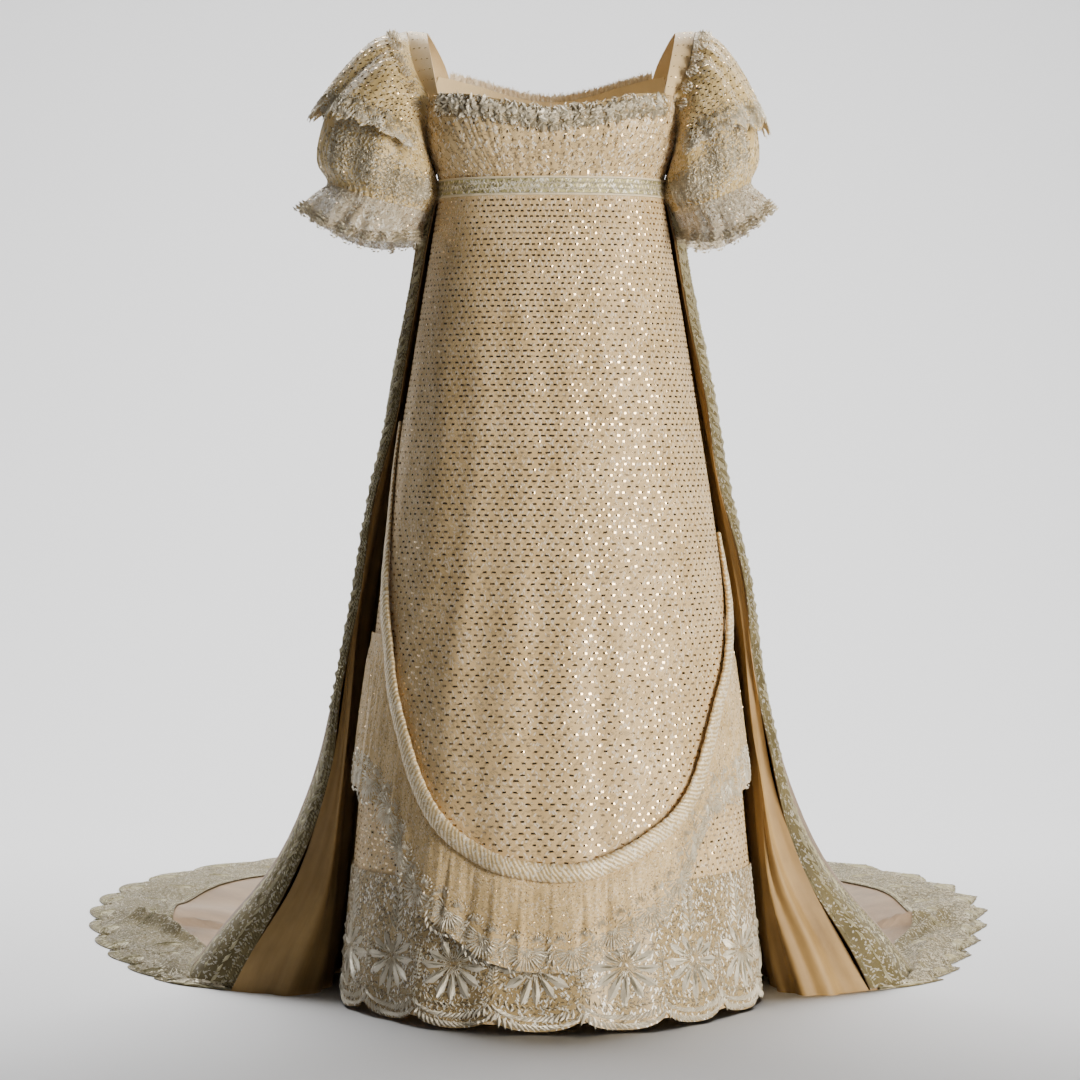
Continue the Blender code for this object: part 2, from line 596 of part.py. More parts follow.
def make_train(tissue, satin, embroidery):
    """The lining, the panel, the bands down the front edges and the border with tongues round the hem."""
    # From the left front edge round the back to the right one, so that the columns run to the right
    half = np.append(1, np.linspace(1 - TRAIN_EDGE, 0, TRAIN_COLUMNS - 1))
    across = np.append(half, -half[-2::-1])[None, :]
    down = np.array(TRAIN_ROWS)[:, None]
    lining, panel = train_point(across, down, "lining"), train_point(across, down, "panel")
    out, panel_out = normals(lining), normals(panel)
    for direction in (out, panel_out):
        direction[0, :, 2] = 0  # level at the top, like the band above it
        direction /= np.linalg.norm(direction, axis=2, keepdims=True)
    wall("train_lining", lining, lining + NET * out, satin)
    panel = panel + (NET + PANEL_LIFT) * panel_out
    wall("train_panel", panel, panel + NET * panel_out, tissue)

    hanging = down[:, 0] < 1
    band = (panel + (NET + GAP) * panel_out)[hanging][:, :2]
    over = band + NET * panel_out[hanging][:, :2]
    wall("train_edge_left", band, over, embroidery)
    band = (panel + (NET + GAP) * panel_out)[hanging][:, -2:]
    over = band + NET * panel_out[hanging][:, -2:]
    wall("train_edge_right", band, over, embroidery)

    # Rows of the hem border: its inner edge, the train's hem, and the tongues' tips
    places = np.linspace(1, -1, TONGUES + 1)
    across = np.append((places[:-1, None] + (places[1] - places[0]) * np.array([0, 0.5])).ravel(), -1)
    tongue = TONGUE_LENGTH * (np.arange(len(across)) % 2)
    hem = rib_line("hem", across)
    run = hem - rib_line("panel", across)
    reach = np.linalg.norm(run, axis=1, keepdims=True)
    run /= reach
    # It narrows towards the front corners, where the panel has little room on the floor
    narrow = 0.06 + 0.34 * step_between(0.03, 0.25, 1 - np.abs(across))
    width = np.minimum(HEM_BORDER_WIDTH, reach * narrow[:, None])
    on_panel = 2 * NET + PANEL_LIFT + GAP
    inner = [
        np.column_stack([hem + run * beyond, np.full(len(hem), height)])
        for beyond, height in ((-width, on_panel), (0.008, on_panel), (0.014 + tongue[:, None], 0.0006))
    ]
    inner = np.array(inner)
    wall("train_hem_border", inner, inner + np.array([0, 0, NET]), embroidery)


def main():
    for old in list(bpy.data.objects):
        bpy.data.objects.remove(old)
    silk = new_material("silk_and_net", (0.70, 0.57, 0.40), 0.45)
    net = new_material("spangled_net", (0.66, 0.58, 0.45), 0.40, 0.30)
    satin = new_material("cream_satin", (0.72, 0.56, 0.36), 0.40)
    stripe = new_material("striped_satin", (0.78, 0.70, 0.55), 0.35, 0.20)
    lace = new_material("net_lace", (0.80, 0.72, 0.60), 0.60)
    silver = new_material("silver_embroidery", (0.62, 0.60, 0.52), 0.30, 0.80)
    tissue = new_material("silver_tissue", (0.55, 0.45, 0.42), 0.30, 0.60)
    ribbon = new_material("metal_ribbon", (0.68, 0.66, 0.52), 0.35, 0.50)
    make_skirt(silk)
    make_hem_borders(silver)
    make_overskirt(net, stripe)
    make_frill(net)
    make_bodice(silk, silver, lace, ribbon)
    make_straps(silk)
    for side in SLEEVE_SPREAD:
        make_sleeve(side, silk, net)
    make_train(tissue, satin, silver)


main()
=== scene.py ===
# %% [markdown]
# # A Regency court gown
# This gown is silvered net over cream silk, with puffed sleeves, an embroidered hem and a lined train.
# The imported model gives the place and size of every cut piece. This lesson gives each its real surface:
# soft folds, metal strips, embroidery, and the finish of silk, net, satin and silver tissue.

# %% Load the frame
import math
from collections import namedtuple

import bpy
import numpy as np
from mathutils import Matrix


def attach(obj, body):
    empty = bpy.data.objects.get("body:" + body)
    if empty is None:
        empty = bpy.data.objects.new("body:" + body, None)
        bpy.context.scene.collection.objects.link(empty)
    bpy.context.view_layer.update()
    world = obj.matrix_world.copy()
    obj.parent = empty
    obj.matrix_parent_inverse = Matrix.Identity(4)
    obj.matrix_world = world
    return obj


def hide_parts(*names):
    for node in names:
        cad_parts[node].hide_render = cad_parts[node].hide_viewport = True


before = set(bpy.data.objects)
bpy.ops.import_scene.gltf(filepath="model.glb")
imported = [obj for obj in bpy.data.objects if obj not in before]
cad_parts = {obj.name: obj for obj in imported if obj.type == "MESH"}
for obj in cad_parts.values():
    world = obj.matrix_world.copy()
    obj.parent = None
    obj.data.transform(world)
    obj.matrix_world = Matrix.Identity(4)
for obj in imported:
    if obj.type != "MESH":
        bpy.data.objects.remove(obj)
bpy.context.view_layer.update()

# %% [markdown]
# ## The view and the light
# The gown is seen from the front with a long lens, a little above its middle. A tall soft light stands
# at the front right, so metal strips that face halfway to it flash white and the others stay dark.
# A very weak light fills the left side. A long light high behind the gown lights the train and the
# floor, and a weaker one there brightens the backdrop's top. All are hidden from the camera.

# %% Camera and lights
SHOULDER = 1.300  # the origin above the floor
FLOOR = -SHOULDER
CAMERA_PLACE = (-0.015, -4.55, 0.770 - SHOULDER)
CAMERA_TILT = 1.875  # degrees down
LENS, SENSOR = 112, 36  # mm

camera = bpy.data.objects.new("camera", bpy.data.cameras.new("camera"))
camera.data.lens, camera.data.sensor_width = LENS, SENSOR
camera.location = CAMERA_PLACE
camera.rotation_euler = (math.radians(90 - CAMERA_TILT), 0, 0)
bpy.context.scene.collection.objects.link(camera)
bpy.context.scene.camera = camera


def soft_light(name, place, aim, size, power, colour=(1, 1, 1)):
    """A rectangular light at a place, turned to an aim point."""
    light = bpy.data.lights.new(name, "AREA")
    light.shape = "RECTANGLE"
    light.size, light.size_y = size
    light.energy, light.color = power, colour
    obj = bpy.data.objects.new(name, light)
    obj.location = place
    ahead = np.array(aim) - np.array(place)
    flat = math.hypot(ahead[0], ahead[1])
    obj.rotation_euler = (math.atan2(flat, -ahead[2]), 0, math.atan2(ahead[1], ahead[0]) - math.pi / 2)
    obj.visible_camera = False
    bpy.context.scene.collection.objects.link(obj)
    return obj


key = soft_light("key", (3.1, -2.8, -0.25), (0, 0, -0.60), (1.5, 2.2), 350, (1, 0.94, 0.84))
soft_light("fill", (-3.4, -3.2, -0.3), (0, 0, -0.7), (2.4, 2.0), 3, (1, 0.95, 0.88))
soft_light("top", (0.0, 2.2, 2.5), (0, 0.8, -1.1), (5.0, 1.6), 430)
soft_light("behind", (0, 0.9, 1.7), (0, 4.2, -0.6), (4.0, 1.0), 60)

# %% [markdown]
# ## Helpers for shader nodes
# A material is a tree of nodes. add makes any node with its inputs, and the others are short names for
# what comes back most. A group is a small tree with named sockets that many materials share, each with
# its own values.

# %% Helpers for shader nodes
def add(tree, kind, inputs=(), **settings):
    """Adds a node, sets its properties, and links or sets its inputs."""
    node = tree.nodes.new(kind)
    for key, value in settings.items():
        setattr(node, key, value)
    for key, value in dict(inputs).items():
        if isinstance(value, bpy.types.NodeSocket):
            tree.links.new(value, node.inputs[key])
        else:
            node.inputs[key].default_value = value
    return node


def maths(tree, operation, a, b=0.0, c=0.0):
    """The result of a Math node: a and b, and for MULTIPLY_ADD a times b plus c."""
    return add(tree, "ShaderNodeMath", {0: a, 1: b, 2: c}, operation=operation).outputs[0]


def mixed(tree, factor, first, second):
    """The first colour where factor is 0, the second where it is 1."""
    first, second = ((*colour, 1) if isinstance(colour, tuple) else colour for colour in (first, second))
    inputs = {0: factor, 6: first, 7: second}  # a Mix node keeps its colours in sockets 6 and 7
    return add(tree, "ShaderNodeMix", inputs, data_type="RGBA").outputs[2]


def group(name, inputs, outputs, build):
    """A shader node group: inputs are (name, kind, default), and build returns the outputs in order."""
    tree = bpy.data.node_groups.new(name, "ShaderNodeTree")
    for label, kind, default in inputs:
        socket = tree.interface.new_socket(label, in_out="INPUT", socket_type="NodeSocket" + kind)
        if default is not None:
            socket.default_value = default
    for label in outputs:
        tree.interface.new_socket(label, in_out="OUTPUT", socket_type="NodeSocketFloat")
    into, out = tree.nodes.new("NodeGroupInput"), tree.nodes.new("NodeGroupOutput")
    for label, socket in zip(outputs, build(tree, into.outputs)):
        tree.links.new(socket, out.inputs[label])
    return tree


def placed(tree, node_group, inputs):
    """Places a node group in a material."""
    return add(tree, "ShaderNodeGroup", inputs, node_tree=node_group)


# %% [markdown]
# ## Meshes from arrays
# Every shape is worked out as an array of points and one of face corners. foreach_set copies whole
# arrays into a mesh at once.

# %% Meshes from arrays
def mesh_object(name, points, quads, uv=None, materials=(), which=None, smooth=True, sharp=None):
    """A mesh object from arrays: points (n, 3), faces (m, 4), uv (n, 2) and a material number a face.

    A face whose last corner is -1 is a triangle.
    """
    mesh = bpy.data.meshes.new(name)
    points, quads = np.asarray(points, np.float32), np.asarray(quads, np.int32)
    mesh.vertices.add(len(points))
    mesh.vertices.foreach_set("co", points.ravel())
    corners = quads[quads >= 0]
    sizes = (quads >= 0).sum(1)
    mesh.loops.add(len(corners))
    mesh.loops.foreach_set("vertex_index", corners)
    mesh.polygons.add(len(quads))
    mesh.polygons.foreach_set("loop_start", (np.cumsum(sizes) - sizes).astype(np.int32))
    if which is not None:
        mesh.polygons.foreach_set("material_index", np.asarray(which, np.int32))
    mesh.polygons.foreach_set("use_smooth", np.full(len(quads), smooth))
    if uv is not None:
        layer = mesh.uv_layers.new(name="UVMap")
        layer.data.foreach_set("uv", np.asarray(uv, np.float32)[corners].ravel())
    mesh.update(calc_edges=True)
    mesh.validate()
    if sharp:
        mesh.set_sharp_from_angle(angle=math.radians(sharp))
    for material in materials:
        mesh.materials.append(material)
    obj = bpy.data.objects.new(name, mesh)
    bpy.context.scene.collection.objects.link(obj)
    return obj


def grid_quads(rows, columns, closed=False):
    """Corner numbers of a grid's faces, which face the way that columns run right and rows run down."""
    i, j = np.meshgrid(np.arange(rows - 1), np.arange(columns if closed else columns - 1), indexing="ij")
    k = (j + 1) % columns
    corners = np.stack([i * columns + j, (i + 1) * columns + j, (i + 1) * columns + k, i * columns + k], -1)
    return corners.reshape(-1, 4)


# %% [markdown]
# ## Floor and backdrop
# A studio sweep is one sheet that runs along the floor and curves up behind: a straight line, a quarter
# circle and another line, carried sideways. Its back is see-through, so that it never hides the gown
# from a camera behind it. The light from the right leaves it out, so there is no long shadow on it.

# %% Sweep
SWEEP_FRONT, SWEEP_BACK, SWEEP_TOP, SWEEP_HALF = -7.0, 4.2, 4.0, 7.0
SWEEP_RADIUS = 2.6

turn = np.linspace(0, math.pi / 2, 25)
profile = np.vstack([
    [[SWEEP_FRONT, FLOOR]],
    np.column_stack([SWEEP_BACK - SWEEP_RADIUS + SWEEP_RADIUS * np.sin(turn),
                     FLOOR + SWEEP_RADIUS * (1 - np.cos(turn))]),
    [[SWEEP_BACK, FLOOR + SWEEP_TOP]],
])[::-1]
sweep = np.zeros((len(profile), 2, 3))
sweep[:, :, 1:] = profile[:, None]
sweep[:, 0, 0], sweep[:, 1, 0] = -SWEEP_HALF, SWEEP_HALF
stage_material = bpy.data.materials.new("studio_paper")
stage_material.use_nodes = True
tree = stage_material.node_tree
paper = tree.nodes["Principled BSDF"]
paper.inputs["Base Color"].default_value = (0.70, 0.70, 0.705, 1)
paper.inputs["Roughness"].default_value = 0.75
back = add(tree, "ShaderNodeNewGeometry").outputs["Backfacing"]
clear = add(tree, "ShaderNodeBsdfTransparent")
both = add(tree, "ShaderNodeMixShader", {0: back, 1: paper.outputs[0], 2: clear.outputs[0]})
tree.links.new(both.outputs[0], tree.nodes["Material Output"].inputs["Surface"])
floor = mesh_object("floor", sweep.reshape(-1, 3), grid_quads(len(profile), 2), materials=[stage_material])
skips = bpy.data.collections.new("key_skips")
skips.objects.link(floor)
skips.collection_objects[0].light_linking.link_state = "EXCLUDE"
key.light_linking.receiver_collection = skips

world = bpy.data.worlds.new("studio")
world.use_nodes = True
bpy.context.scene.world = world
tree = world.node_tree
dim = tree.nodes["Background"]  # the weak light from all round, and a paler tone that is only seen
dim.inputs["Color"].default_value = (1.0, 0.98, 0.95, 1)
dim.inputs["Strength"].default_value = 0.06
pale = add(tree, "ShaderNodeBackground", {"Color": (0.80, 0.80, 0.81, 1), "Strength": 0.75})
seen = add(tree, "ShaderNodeLightPath").outputs["Is Camera Ray"]
both = add(tree, "ShaderNodeMixShader", {0: seen, 1: dim.outputs[0], 2: pale.outputs[0]})
tree.links.new(both.outputs[0], tree.nodes["World Output"].inputs["Surface"])

# %% [markdown]
# ## The finishes
# Five effects come back in many finishes, so each is one node group: the over-and-under of a weave, the
# meshes of a net, the slow change of tone of old cloth, dark flecks of metal with painted glints among
# them, and the ridges of satin stitch.
# What follows a thread reads the piece's own UV map, in metres, so it has the same width everywhere.
# The change of tone reads Object coordinates and runs on from piece to piece.

# %% Node groups
def build_weave(tree, given):
    """Height of a plain weave: the product of two sines, a wave for each thread each way."""
    xyz = add(tree, "ShaderNodeSeparateXYZ", {0: given["Vector"]})
    rate = maths(tree, "MULTIPLY", given["Threads per metre"], math.pi)
    waves = [maths(tree, "SINE", maths(tree, "MULTIPLY", xyz.outputs[i], rate)) for i in (0, 1)]
    return [maths(tree, "MULTIPLY_ADD", maths(tree, "MULTIPLY", *waves), 0.5, 0.5)]


def build_net(tree, given):
    """1 on the threads of a diamond net and 0 in its holes, from the distance to the nearest thread."""
    xyz = add(tree, "ShaderNodeSeparateXYZ", {0: given["Vector"]})
    threads = []
    for operation in ("ADD", "SUBTRACT"):
        along = maths(tree, "DIVIDE", maths(tree, operation, xyz.outputs[0], xyz.outputs[1]), given["Mesh"])
        threads.append(maths(tree, "LESS_THAN", maths(tree, "PINGPONG", along, 0.5), given["Thread"]))
    return [maths(tree, "MAXIMUM", *threads)]


def build_tone(tree, given):
    """Soft blotches with fine mottle: noise, its middle range stretched to run from 0 to 1."""
    inputs = {"Vector": given["Vector"], "Scale": given["Scale"], "Detail": 6.0, "Roughness": 0.62}
    noise = add(tree, "ShaderNodeTexNoise", inputs).outputs[0]
    return [add(tree, "ShaderNodeMapRange", {0: noise, 1: 0.32, 2: 0.68, 3: 0.0, 4: 1.0}).outputs[0]]


def build_stitch(tree, given):
    """Fine ridges side by side, a little slanted to the leaf's length, with a jitter from noise."""
    xyz = add(tree, "ShaderNodeSeparateXYZ", {0: given["Vector"]})
    slant = maths(tree, "MULTIPLY_ADD", maths(tree, "ABSOLUTE", xyz.outputs[0]), -0.9, xyz.outputs[1])
    rate = maths(tree, "DIVIDE", 2 * math.pi, given["Stitch"])
    noise = add(tree, "ShaderNodeTexNoise", {"Vector": given["Vector"], "Scale": 400.0}).outputs[0]
    phase = maths(tree, "MULTIPLY_ADD", slant, rate, maths(tree, "MULTIPLY", noise, 4.0))
    return [maths(tree, "MULTIPLY_ADD", maths(tree, "SINE", phase), 0.5, 0.5)]


def build_flecks(tree, given):
    """Dark flecks and painted glints: some cells of Voronoi patterns that are turned, then stretched."""
    rate = maths(tree, "DIVIDE", 1.0, given["Size"])
    masks = []
    for turn, least in ((0.6, 0.80), (-0.5, 0.80), (1.5, 0.72), (2.4, 0.72)):
        inputs = {"Vector": given["Vector"], "Rotation": (0.0, 0.0, turn), "Scale": (1.0, 2.4, 1.0)}
        turned = add(tree, "ShaderNodeMapping", inputs, vector_type="TEXTURE").outputs[0]
        cells = add(tree, "ShaderNodeTexVoronoi", {"Vector": turned, "Scale": rate})
        value = add(tree, "ShaderNodeSeparateColor", {0: cells.outputs["Color"]}).outputs[0]
        near = maths(tree, "LESS_THAN", cells.outputs["Distance"], 0.45)
        masks.append(maths(tree, "MULTIPLY", maths(tree, "GREATER_THAN", value, least), near))
    return [maths(tree, "MAXIMUM", *masks[:2]), maths(tree, "MAXIMUM", *masks[2:])]


VECTOR = ("Vector", "Vector", None)
WEAVE = group("weave", [VECTOR, ("Threads per metre", "Float", 1500.0)], ["Height"], build_weave)
NET_MESH = group("net", [VECTOR, ("Mesh", "Float", 0.0016), ("Thread", "Float", 0.14)], ["Mask"], build_net)
TONE = group("aged_tone", [VECTOR, ("Scale", "Float", 12.0)], ["Factor"], build_tone)
FLECKS_AND_GLINTS = group("metal_flecks_and_painted_glints", [VECTOR, ("Size", "Float", 0.0015)], ["Bright", "Dark"], build_flecks)
STITCH = group("satin_stitch", [VECTOR, ("Stitch", "Float", 0.0008)], ["Height"], build_stitch)
print("groups:", [tree.name for tree in bpy.data.node_groups])

# %% Ways to make a finish
def new_material(name, roughness, metallic=0.0, **fixed):
    """A Principled material, with values for its shader's own sockets (spaces written as _)."""
    material = bpy.data.materials.new(name)
    material.use_nodes = True
    shader = material.node_tree.nodes["Principled BSDF"]
    shader.inputs["Roughness"].default_value = roughness
    shader.inputs["Metallic"].default_value = metallic
    for key, value in fixed.items():
        shader.inputs[key.replace("_", " ")].default_value = value
    return material, material.node_tree, shader


def uv_of(tree):
    """The piece's own UV map, in metres."""
    return add(tree, "ShaderNodeUVMap", uv_map="UVMap").outputs[0]


def tone_of(tree, scale):
    """The change of tone over the whole gown, in blotches of a scale."""
    place = add(tree, "ShaderNodeTexCoord").outputs["Object"]
    return placed(tree, TONE, {"Vector": place, "Scale": scale}).outputs[0]


def weave_of(tree, uv, threads):
    """The height of a plain weave with so many threads a metre."""
    return placed(tree, WEAVE, {"Vector": uv, "Threads per metre": threads}).outputs[0]


def wire(tree, shader, colour, height, distance, strength=0.6):
    """Sets the shader's colour, and its normal by a height from 0 to 1 over a distance in metres."""
    tree.links.new(colour, shader.inputs["Base Color"])
    bump = add(tree, "ShaderNodeBump", {"Height": height, "Distance": distance, "Strength": strength})
    tree.links.new(bump.outputs[0], shader.inputs["Normal"])


TARNISH, PAINTED_GLINT = (0.11, 0.085, 0.05), (0.96, 0.92, 0.82)  # dark bits of metal, and the colour of a painted glint


def flecked(tree, uv, colour, size, dark_share, glint_share, dark=TARNISH, glint_colour=PAINTED_GLINT):
    """Flecks of a size over a colour: dark ones, then painted glints, each as strong as its share."""
    fleck = placed(tree, FLECKS_AND_GLINTS, {"Vector": uv, "Size": size}).outputs
    colour = mixed(tree, maths(tree, "MULTIPLY", fleck["Dark"], dark_share), colour, dark)
    return mixed(tree, maths(tree, "MULTIPLY", fleck["Bright"], glint_share), colour, glint_colour)


def silk_finish(name, light, dark, roughness, threads, **fixed):
    """Woven silk: two tones in slow blotches, with painted shade between the threads."""
    material, tree, shader = new_material(name, roughness, **fixed)
    tone = tone_of(tree, 9.0)
    weave = weave_of(tree, uv_of(tree), threads)
    # Painted shade: darker where the weave is low, between the threads.
    between = maths(tree, "MULTIPLY", maths(tree, "SUBTRACT", 1.0, weave), 0.30)
    colour = mixed(tree, between, mixed(tree, tone, light, dark), dark)
    wire(tree, shader, colour, weave, 0.0003)
    return material


def net_finish(name, light, dark, roughness, mesh, thread, clear, flecks, metallic=0.0, **fixed):
    """Net: threads of two tones, and meshes of the darker one. clear is how see-through a mesh is.

    flecks are the size of bits of metal caught in it and how strongly painted glints and dark flecks show.
    """
    material, tree, shader = new_material(name, roughness, metallic, **fixed)
    uv = uv_of(tree)
    mask = placed(tree, NET_MESH, {"Vector": uv, "Mesh": mesh, "Thread": thread}).outputs[0]
    tone = tone_of(tree, 22.0)
    colour = mixed(tree, mask, dark, mixed(tree, tone, light, dark))
    size, glint_share, dark_share = flecks
    colour = flecked(tree, uv, colour, size, dark_share, glint_share)
    if clear:
        alpha = maths(tree, "MULTIPLY_ADD", mask, clear, 1.0 - clear)
        tree.links.new(alpha, shader.inputs["Alpha"])
    wire(tree, shader, colour, mask, 0.0002)
    return material


def stitched_finish(name, light, dark, roughness, metallic, stitch, **fixed):
    """Metal thread in satin stitch, brighter on the ridges and tarnished in patches."""
    material, tree, shader = new_material(name, roughness, metallic, **fixed)
    ridge = placed(tree, STITCH, {"Vector": uv_of(tree), "Stitch": stitch}).outputs[0]
    tone = tone_of(tree, 60.0)
    patches = maths(tree, "MULTIPLY", tone, 0.4)
    tarnished = maths(tree, "MULTIPLY_ADD", maths(tree, "SUBTRACT", 1.0, ridge), 0.45, patches)
    wire(tree, shader, mixed(tree, tarnished, light, dark), ridge, 0.0004, 0.8)
    return material


# %% Silk, net and metal
SHEEN = dict(Sheen_Weight=0.12, Sheen_Roughness=0.4, Specular_IOR_Level=0.3)
# The last tuple of each net: fleck size, then the shares of painted glints and of dark flecks.
silk_net = net_finish("net_over_silk", (0.84, 0.61, 0.33), (0.54, 0.37, 0.17), 0.5, 0.0016, 0.15, 0.0,
                      (0.0022, 0.40, 0.34), **SHEEN)
gold_net = net_finish("gathered_net", (0.80, 0.59, 0.31), (0.52, 0.36, 0.16), 0.45, 0.0014, 0.17, 0.0,
                      (0.0020, 0.30, 0.40), 0.05, **SHEEN)
bodice_net = net_finish("bodice_net", (0.84, 0.63, 0.35), (0.54, 0.38, 0.18), 0.45, 0.0014, 0.17, 0.0,
                        (0.0022, 0.60, 0.60), 0.05, **SHEEN)
sleeve_net = net_finish("sleeve_net", (0.82, 0.62, 0.31), (0.50, 0.36, 0.145), 0.45, 0.0014, 0.17, 0.0,
                        (0.0026, 0.32, 0.60), **SHEEN)
clear_net = net_finish("open_net", (0.66, 0.58, 0.44), (0.48, 0.39, 0.25), 0.5, 0.0018, 0.13, 0.72,
                       (0.0028, 0.8, 0.6))
border_net = net_finish("border_net", (0.56, 0.41, 0.20), (0.30, 0.21, 0.09), 0.42, 0.0015, 0.17, 0.0,
                        (0.0028, 0.95, 0.90), 0.1)
train_net = net_finish("train_border_net", (0.22, 0.175, 0.08), (0.095, 0.076, 0.033), 0.5, 0.0015, 0.17,
                       0.0, (0.0024, 0.30, 0.45), Specular_IOR_Level=0.1)
# Inner faces get a paler copy of the silk: painted light, as the lamps leave them in shade.
lit_silk_lining = silk_finish("lit_silk_lining", (0.88, 0.72, 0.45), (0.76, 0.58, 0.33), 0.45, 2400, **SHEEN)
strap_silk = silk_finish("strap_silk", (0.76, 0.58, 0.33), (0.60, 0.43, 0.22), 0.5, 1400, **SHEEN)
metal_strip, _, shader = new_material("metal_strip", 0.20, 1.0)
shader.inputs["Base Color"].default_value = (0.56, 0.42, 0.25, 1)
silver = stitched_finish("silver_thread", (0.97, 0.91, 0.77), (0.46, 0.38, 0.24), 0.32, 0.4, 0.0011)
dull_silver, dark_silver, grey_green = (stitched_finish(name, *finish, 0.0009) for name, *finish in (
    ("dull_silver_thread", (0.78, 0.71, 0.55), (0.30, 0.24, 0.14), 0.36, 0.5),
    ("dark_silver_thread", (0.55, 0.50, 0.37), (0.15, 0.125, 0.075), 0.40, 0.6),
    ("grey_green_thread", (0.60, 0.53, 0.33), (0.12, 0.105, 0.05), 0.36, 0.3)))

# %% [markdown]
# ## Satin and tissue
# The lining's satin is streaked along its length. Silver tissue is a ribbed weave with metal thread,
# which age has turned brown, so it is only a quarter metallic. In both, noise that is stretched down the
# cloth gives the streaks, and the weave gives the ribs.

# %% Satin and tissue
def streaked_finish(name, light, dark, roughness, metallic, ribs, stretch, **fixed):
    """Cloth whose tone runs in long streaks down the UV map, with ribs across."""
    material, tree, shader = new_material(name, roughness, metallic, **fixed)
    uv = uv_of(tree)
    long_uv = add(tree, "ShaderNodeMapping", {"Vector": uv, "Scale": (1.0, stretch, 1.0)}).outputs[0]
    streak = placed(tree, TONE, {"Vector": long_uv, "Scale": 30.0}).outputs[0]
    weave = weave_of(tree, uv, ribs)
    tone = tone_of(tree, 5.0)
    both = maths(tree, "MULTIPLY_ADD", streak, 0.55, maths(tree, "MULTIPLY", tone, 0.45))
    height = maths(tree, "MULTIPLY_ADD", streak, 0.6, maths(tree, "MULTIPLY", weave, 0.4))
    wire(tree, shader, mixed(tree, both, light, dark), height, 0.0006, 0.5)
    return material


satin = streaked_finish("cream_satin_lining", (0.50, 0.32, 0.125), (0.19, 0.11, 0.035), 0.42, 0.0, 2000,
                        0.12, Sheen_Weight=0.05, Sheen_Roughness=0.35, Specular_IOR_Level=0.3)
tissue = streaked_finish("silver_tissue_cloth", (0.32, 0.215, 0.125), (0.12, 0.077, 0.042), 0.42, 0.25, 1300,
                         0.2, Specular_IOR_Level=0.08)

# %% [markdown]
# ## Roll stripes, ribbon and frayed lace
# The padded roll's slanting stripes and the ribbon's zigzag follow their UV maps: along the piece, then
# across it. The mask that picks the metal feeds both the colour and the metallic value.

# %% Roll stripes, ribbon and frayed lace
STRIPE_PITCH, STRIPE_SLANT = 0.0066, 0.7
ZIGZAG_PITCH, RIBBON_WIDTH, RIBBON_EDGE = 0.011, 0.025, 0.0026


def stripe_finish():
    """Slanting stripes: a sine of the way along the roll plus a share of the way round it."""
    material, tree, shader = new_material("striped_satin_roll", 0.38, 0.0, Sheen_Weight=0.1)
    uv = uv_of(tree)
    xyz = add(tree, "ShaderNodeSeparateXYZ", {0: uv})
    slanted = maths(tree, "MULTIPLY_ADD", xyz.outputs[1], STRIPE_SLANT, xyz.outputs[0])
    tone = tone_of(tree, 30.0)
    slanted = maths(tree, "MULTIPLY_ADD", tone, 0.006, slanted)
    wave = maths(tree, "SINE", maths(tree, "MULTIPLY", slanted, 2 * math.pi / STRIPE_PITCH))
    mask = add(tree, "ShaderNodeMapRange", {0: wave, 1: -0.45, 2: 0.65}).outputs[0]
    cream = mixed(tree, tone, (0.64, 0.45, 0.21), (0.42, 0.29, 0.12))
    colour = mixed(tree, mask, cream, (0.86, 0.72, 0.47))
    # Dark flecks, and painted glints over the stripes.
    colour = flecked(tree, uv, colour, 0.0024, 0.45, 0.5, dark=(0.26, 0.19, 0.09))
    tree.links.new(maths(tree, "MULTIPLY", mask, 0.25), shader.inputs["Metallic"])
    weave = weave_of(tree, uv, 1500.0)
    height = maths(tree, "MULTIPLY_ADD", mask, 0.7, maths(tree, "MULTIPLY", weave, 0.3))
    wire(tree, shader, colour, height, 0.0008)
    return material


def ribbon_finish():
    """A zigzag: where the height across the ribbon is near a triangle wave along it. Silk at both edges."""
    material, tree, shader = new_material("woven_metal_ribbon", 0.36, 0.0)
    uv = uv_of(tree)
    xyz = add(tree, "ShaderNodeSeparateXYZ", {0: uv})
    share = maths(tree, "DIVIDE", maths(tree, "ABSOLUTE", xyz.outputs[1]), RIBBON_WIDTH)
    middle = maths(tree, "ABSOLUTE", maths(tree, "SUBTRACT", share, 0.5))
    inside = maths(tree, "LESS_THAN", middle, 0.5 - RIBBON_EDGE / RIBBON_WIDTH)
    wave = maths(tree, "PINGPONG", xyz.outputs[0], ZIGZAG_PITCH / 2)
    wave = maths(tree, "DIVIDE", wave, ZIGZAG_PITCH)
    line = maths(tree, "MULTIPLY_ADD", wave, 1.2, -0.3)
    away = maths(tree, "SUBTRACT", line, maths(tree, "SUBTRACT", share, 0.5))
    zigzag = maths(tree, "LESS_THAN", maths(tree, "ABSOLUTE", away), 0.12)
    metal = mixed(tree, zigzag, (0.42, 0.37, 0.17), (0.78, 0.68, 0.42))
    # Dark flecks, and near-white painted glints on the metal.
    metal = flecked(tree, uv, metal, 0.0030, 0.8, 0.8, (0.14, 0.12, 0.06), (0.95, 0.92, 0.82))
    tree.links.new(maths(tree, "MULTIPLY", inside, 0.35), shader.inputs["Metallic"])
    weave = weave_of(tree, uv, 1100.0)
    height = maths(tree, "MULTIPLY_ADD", zigzag, 0.6, maths(tree, "MULTIPLY", weave, 0.4))
    wire(tree, shader, mixed(tree, inside, (0.74, 0.62, 0.40), metal), height, 0.0007, 0.8)
    return material


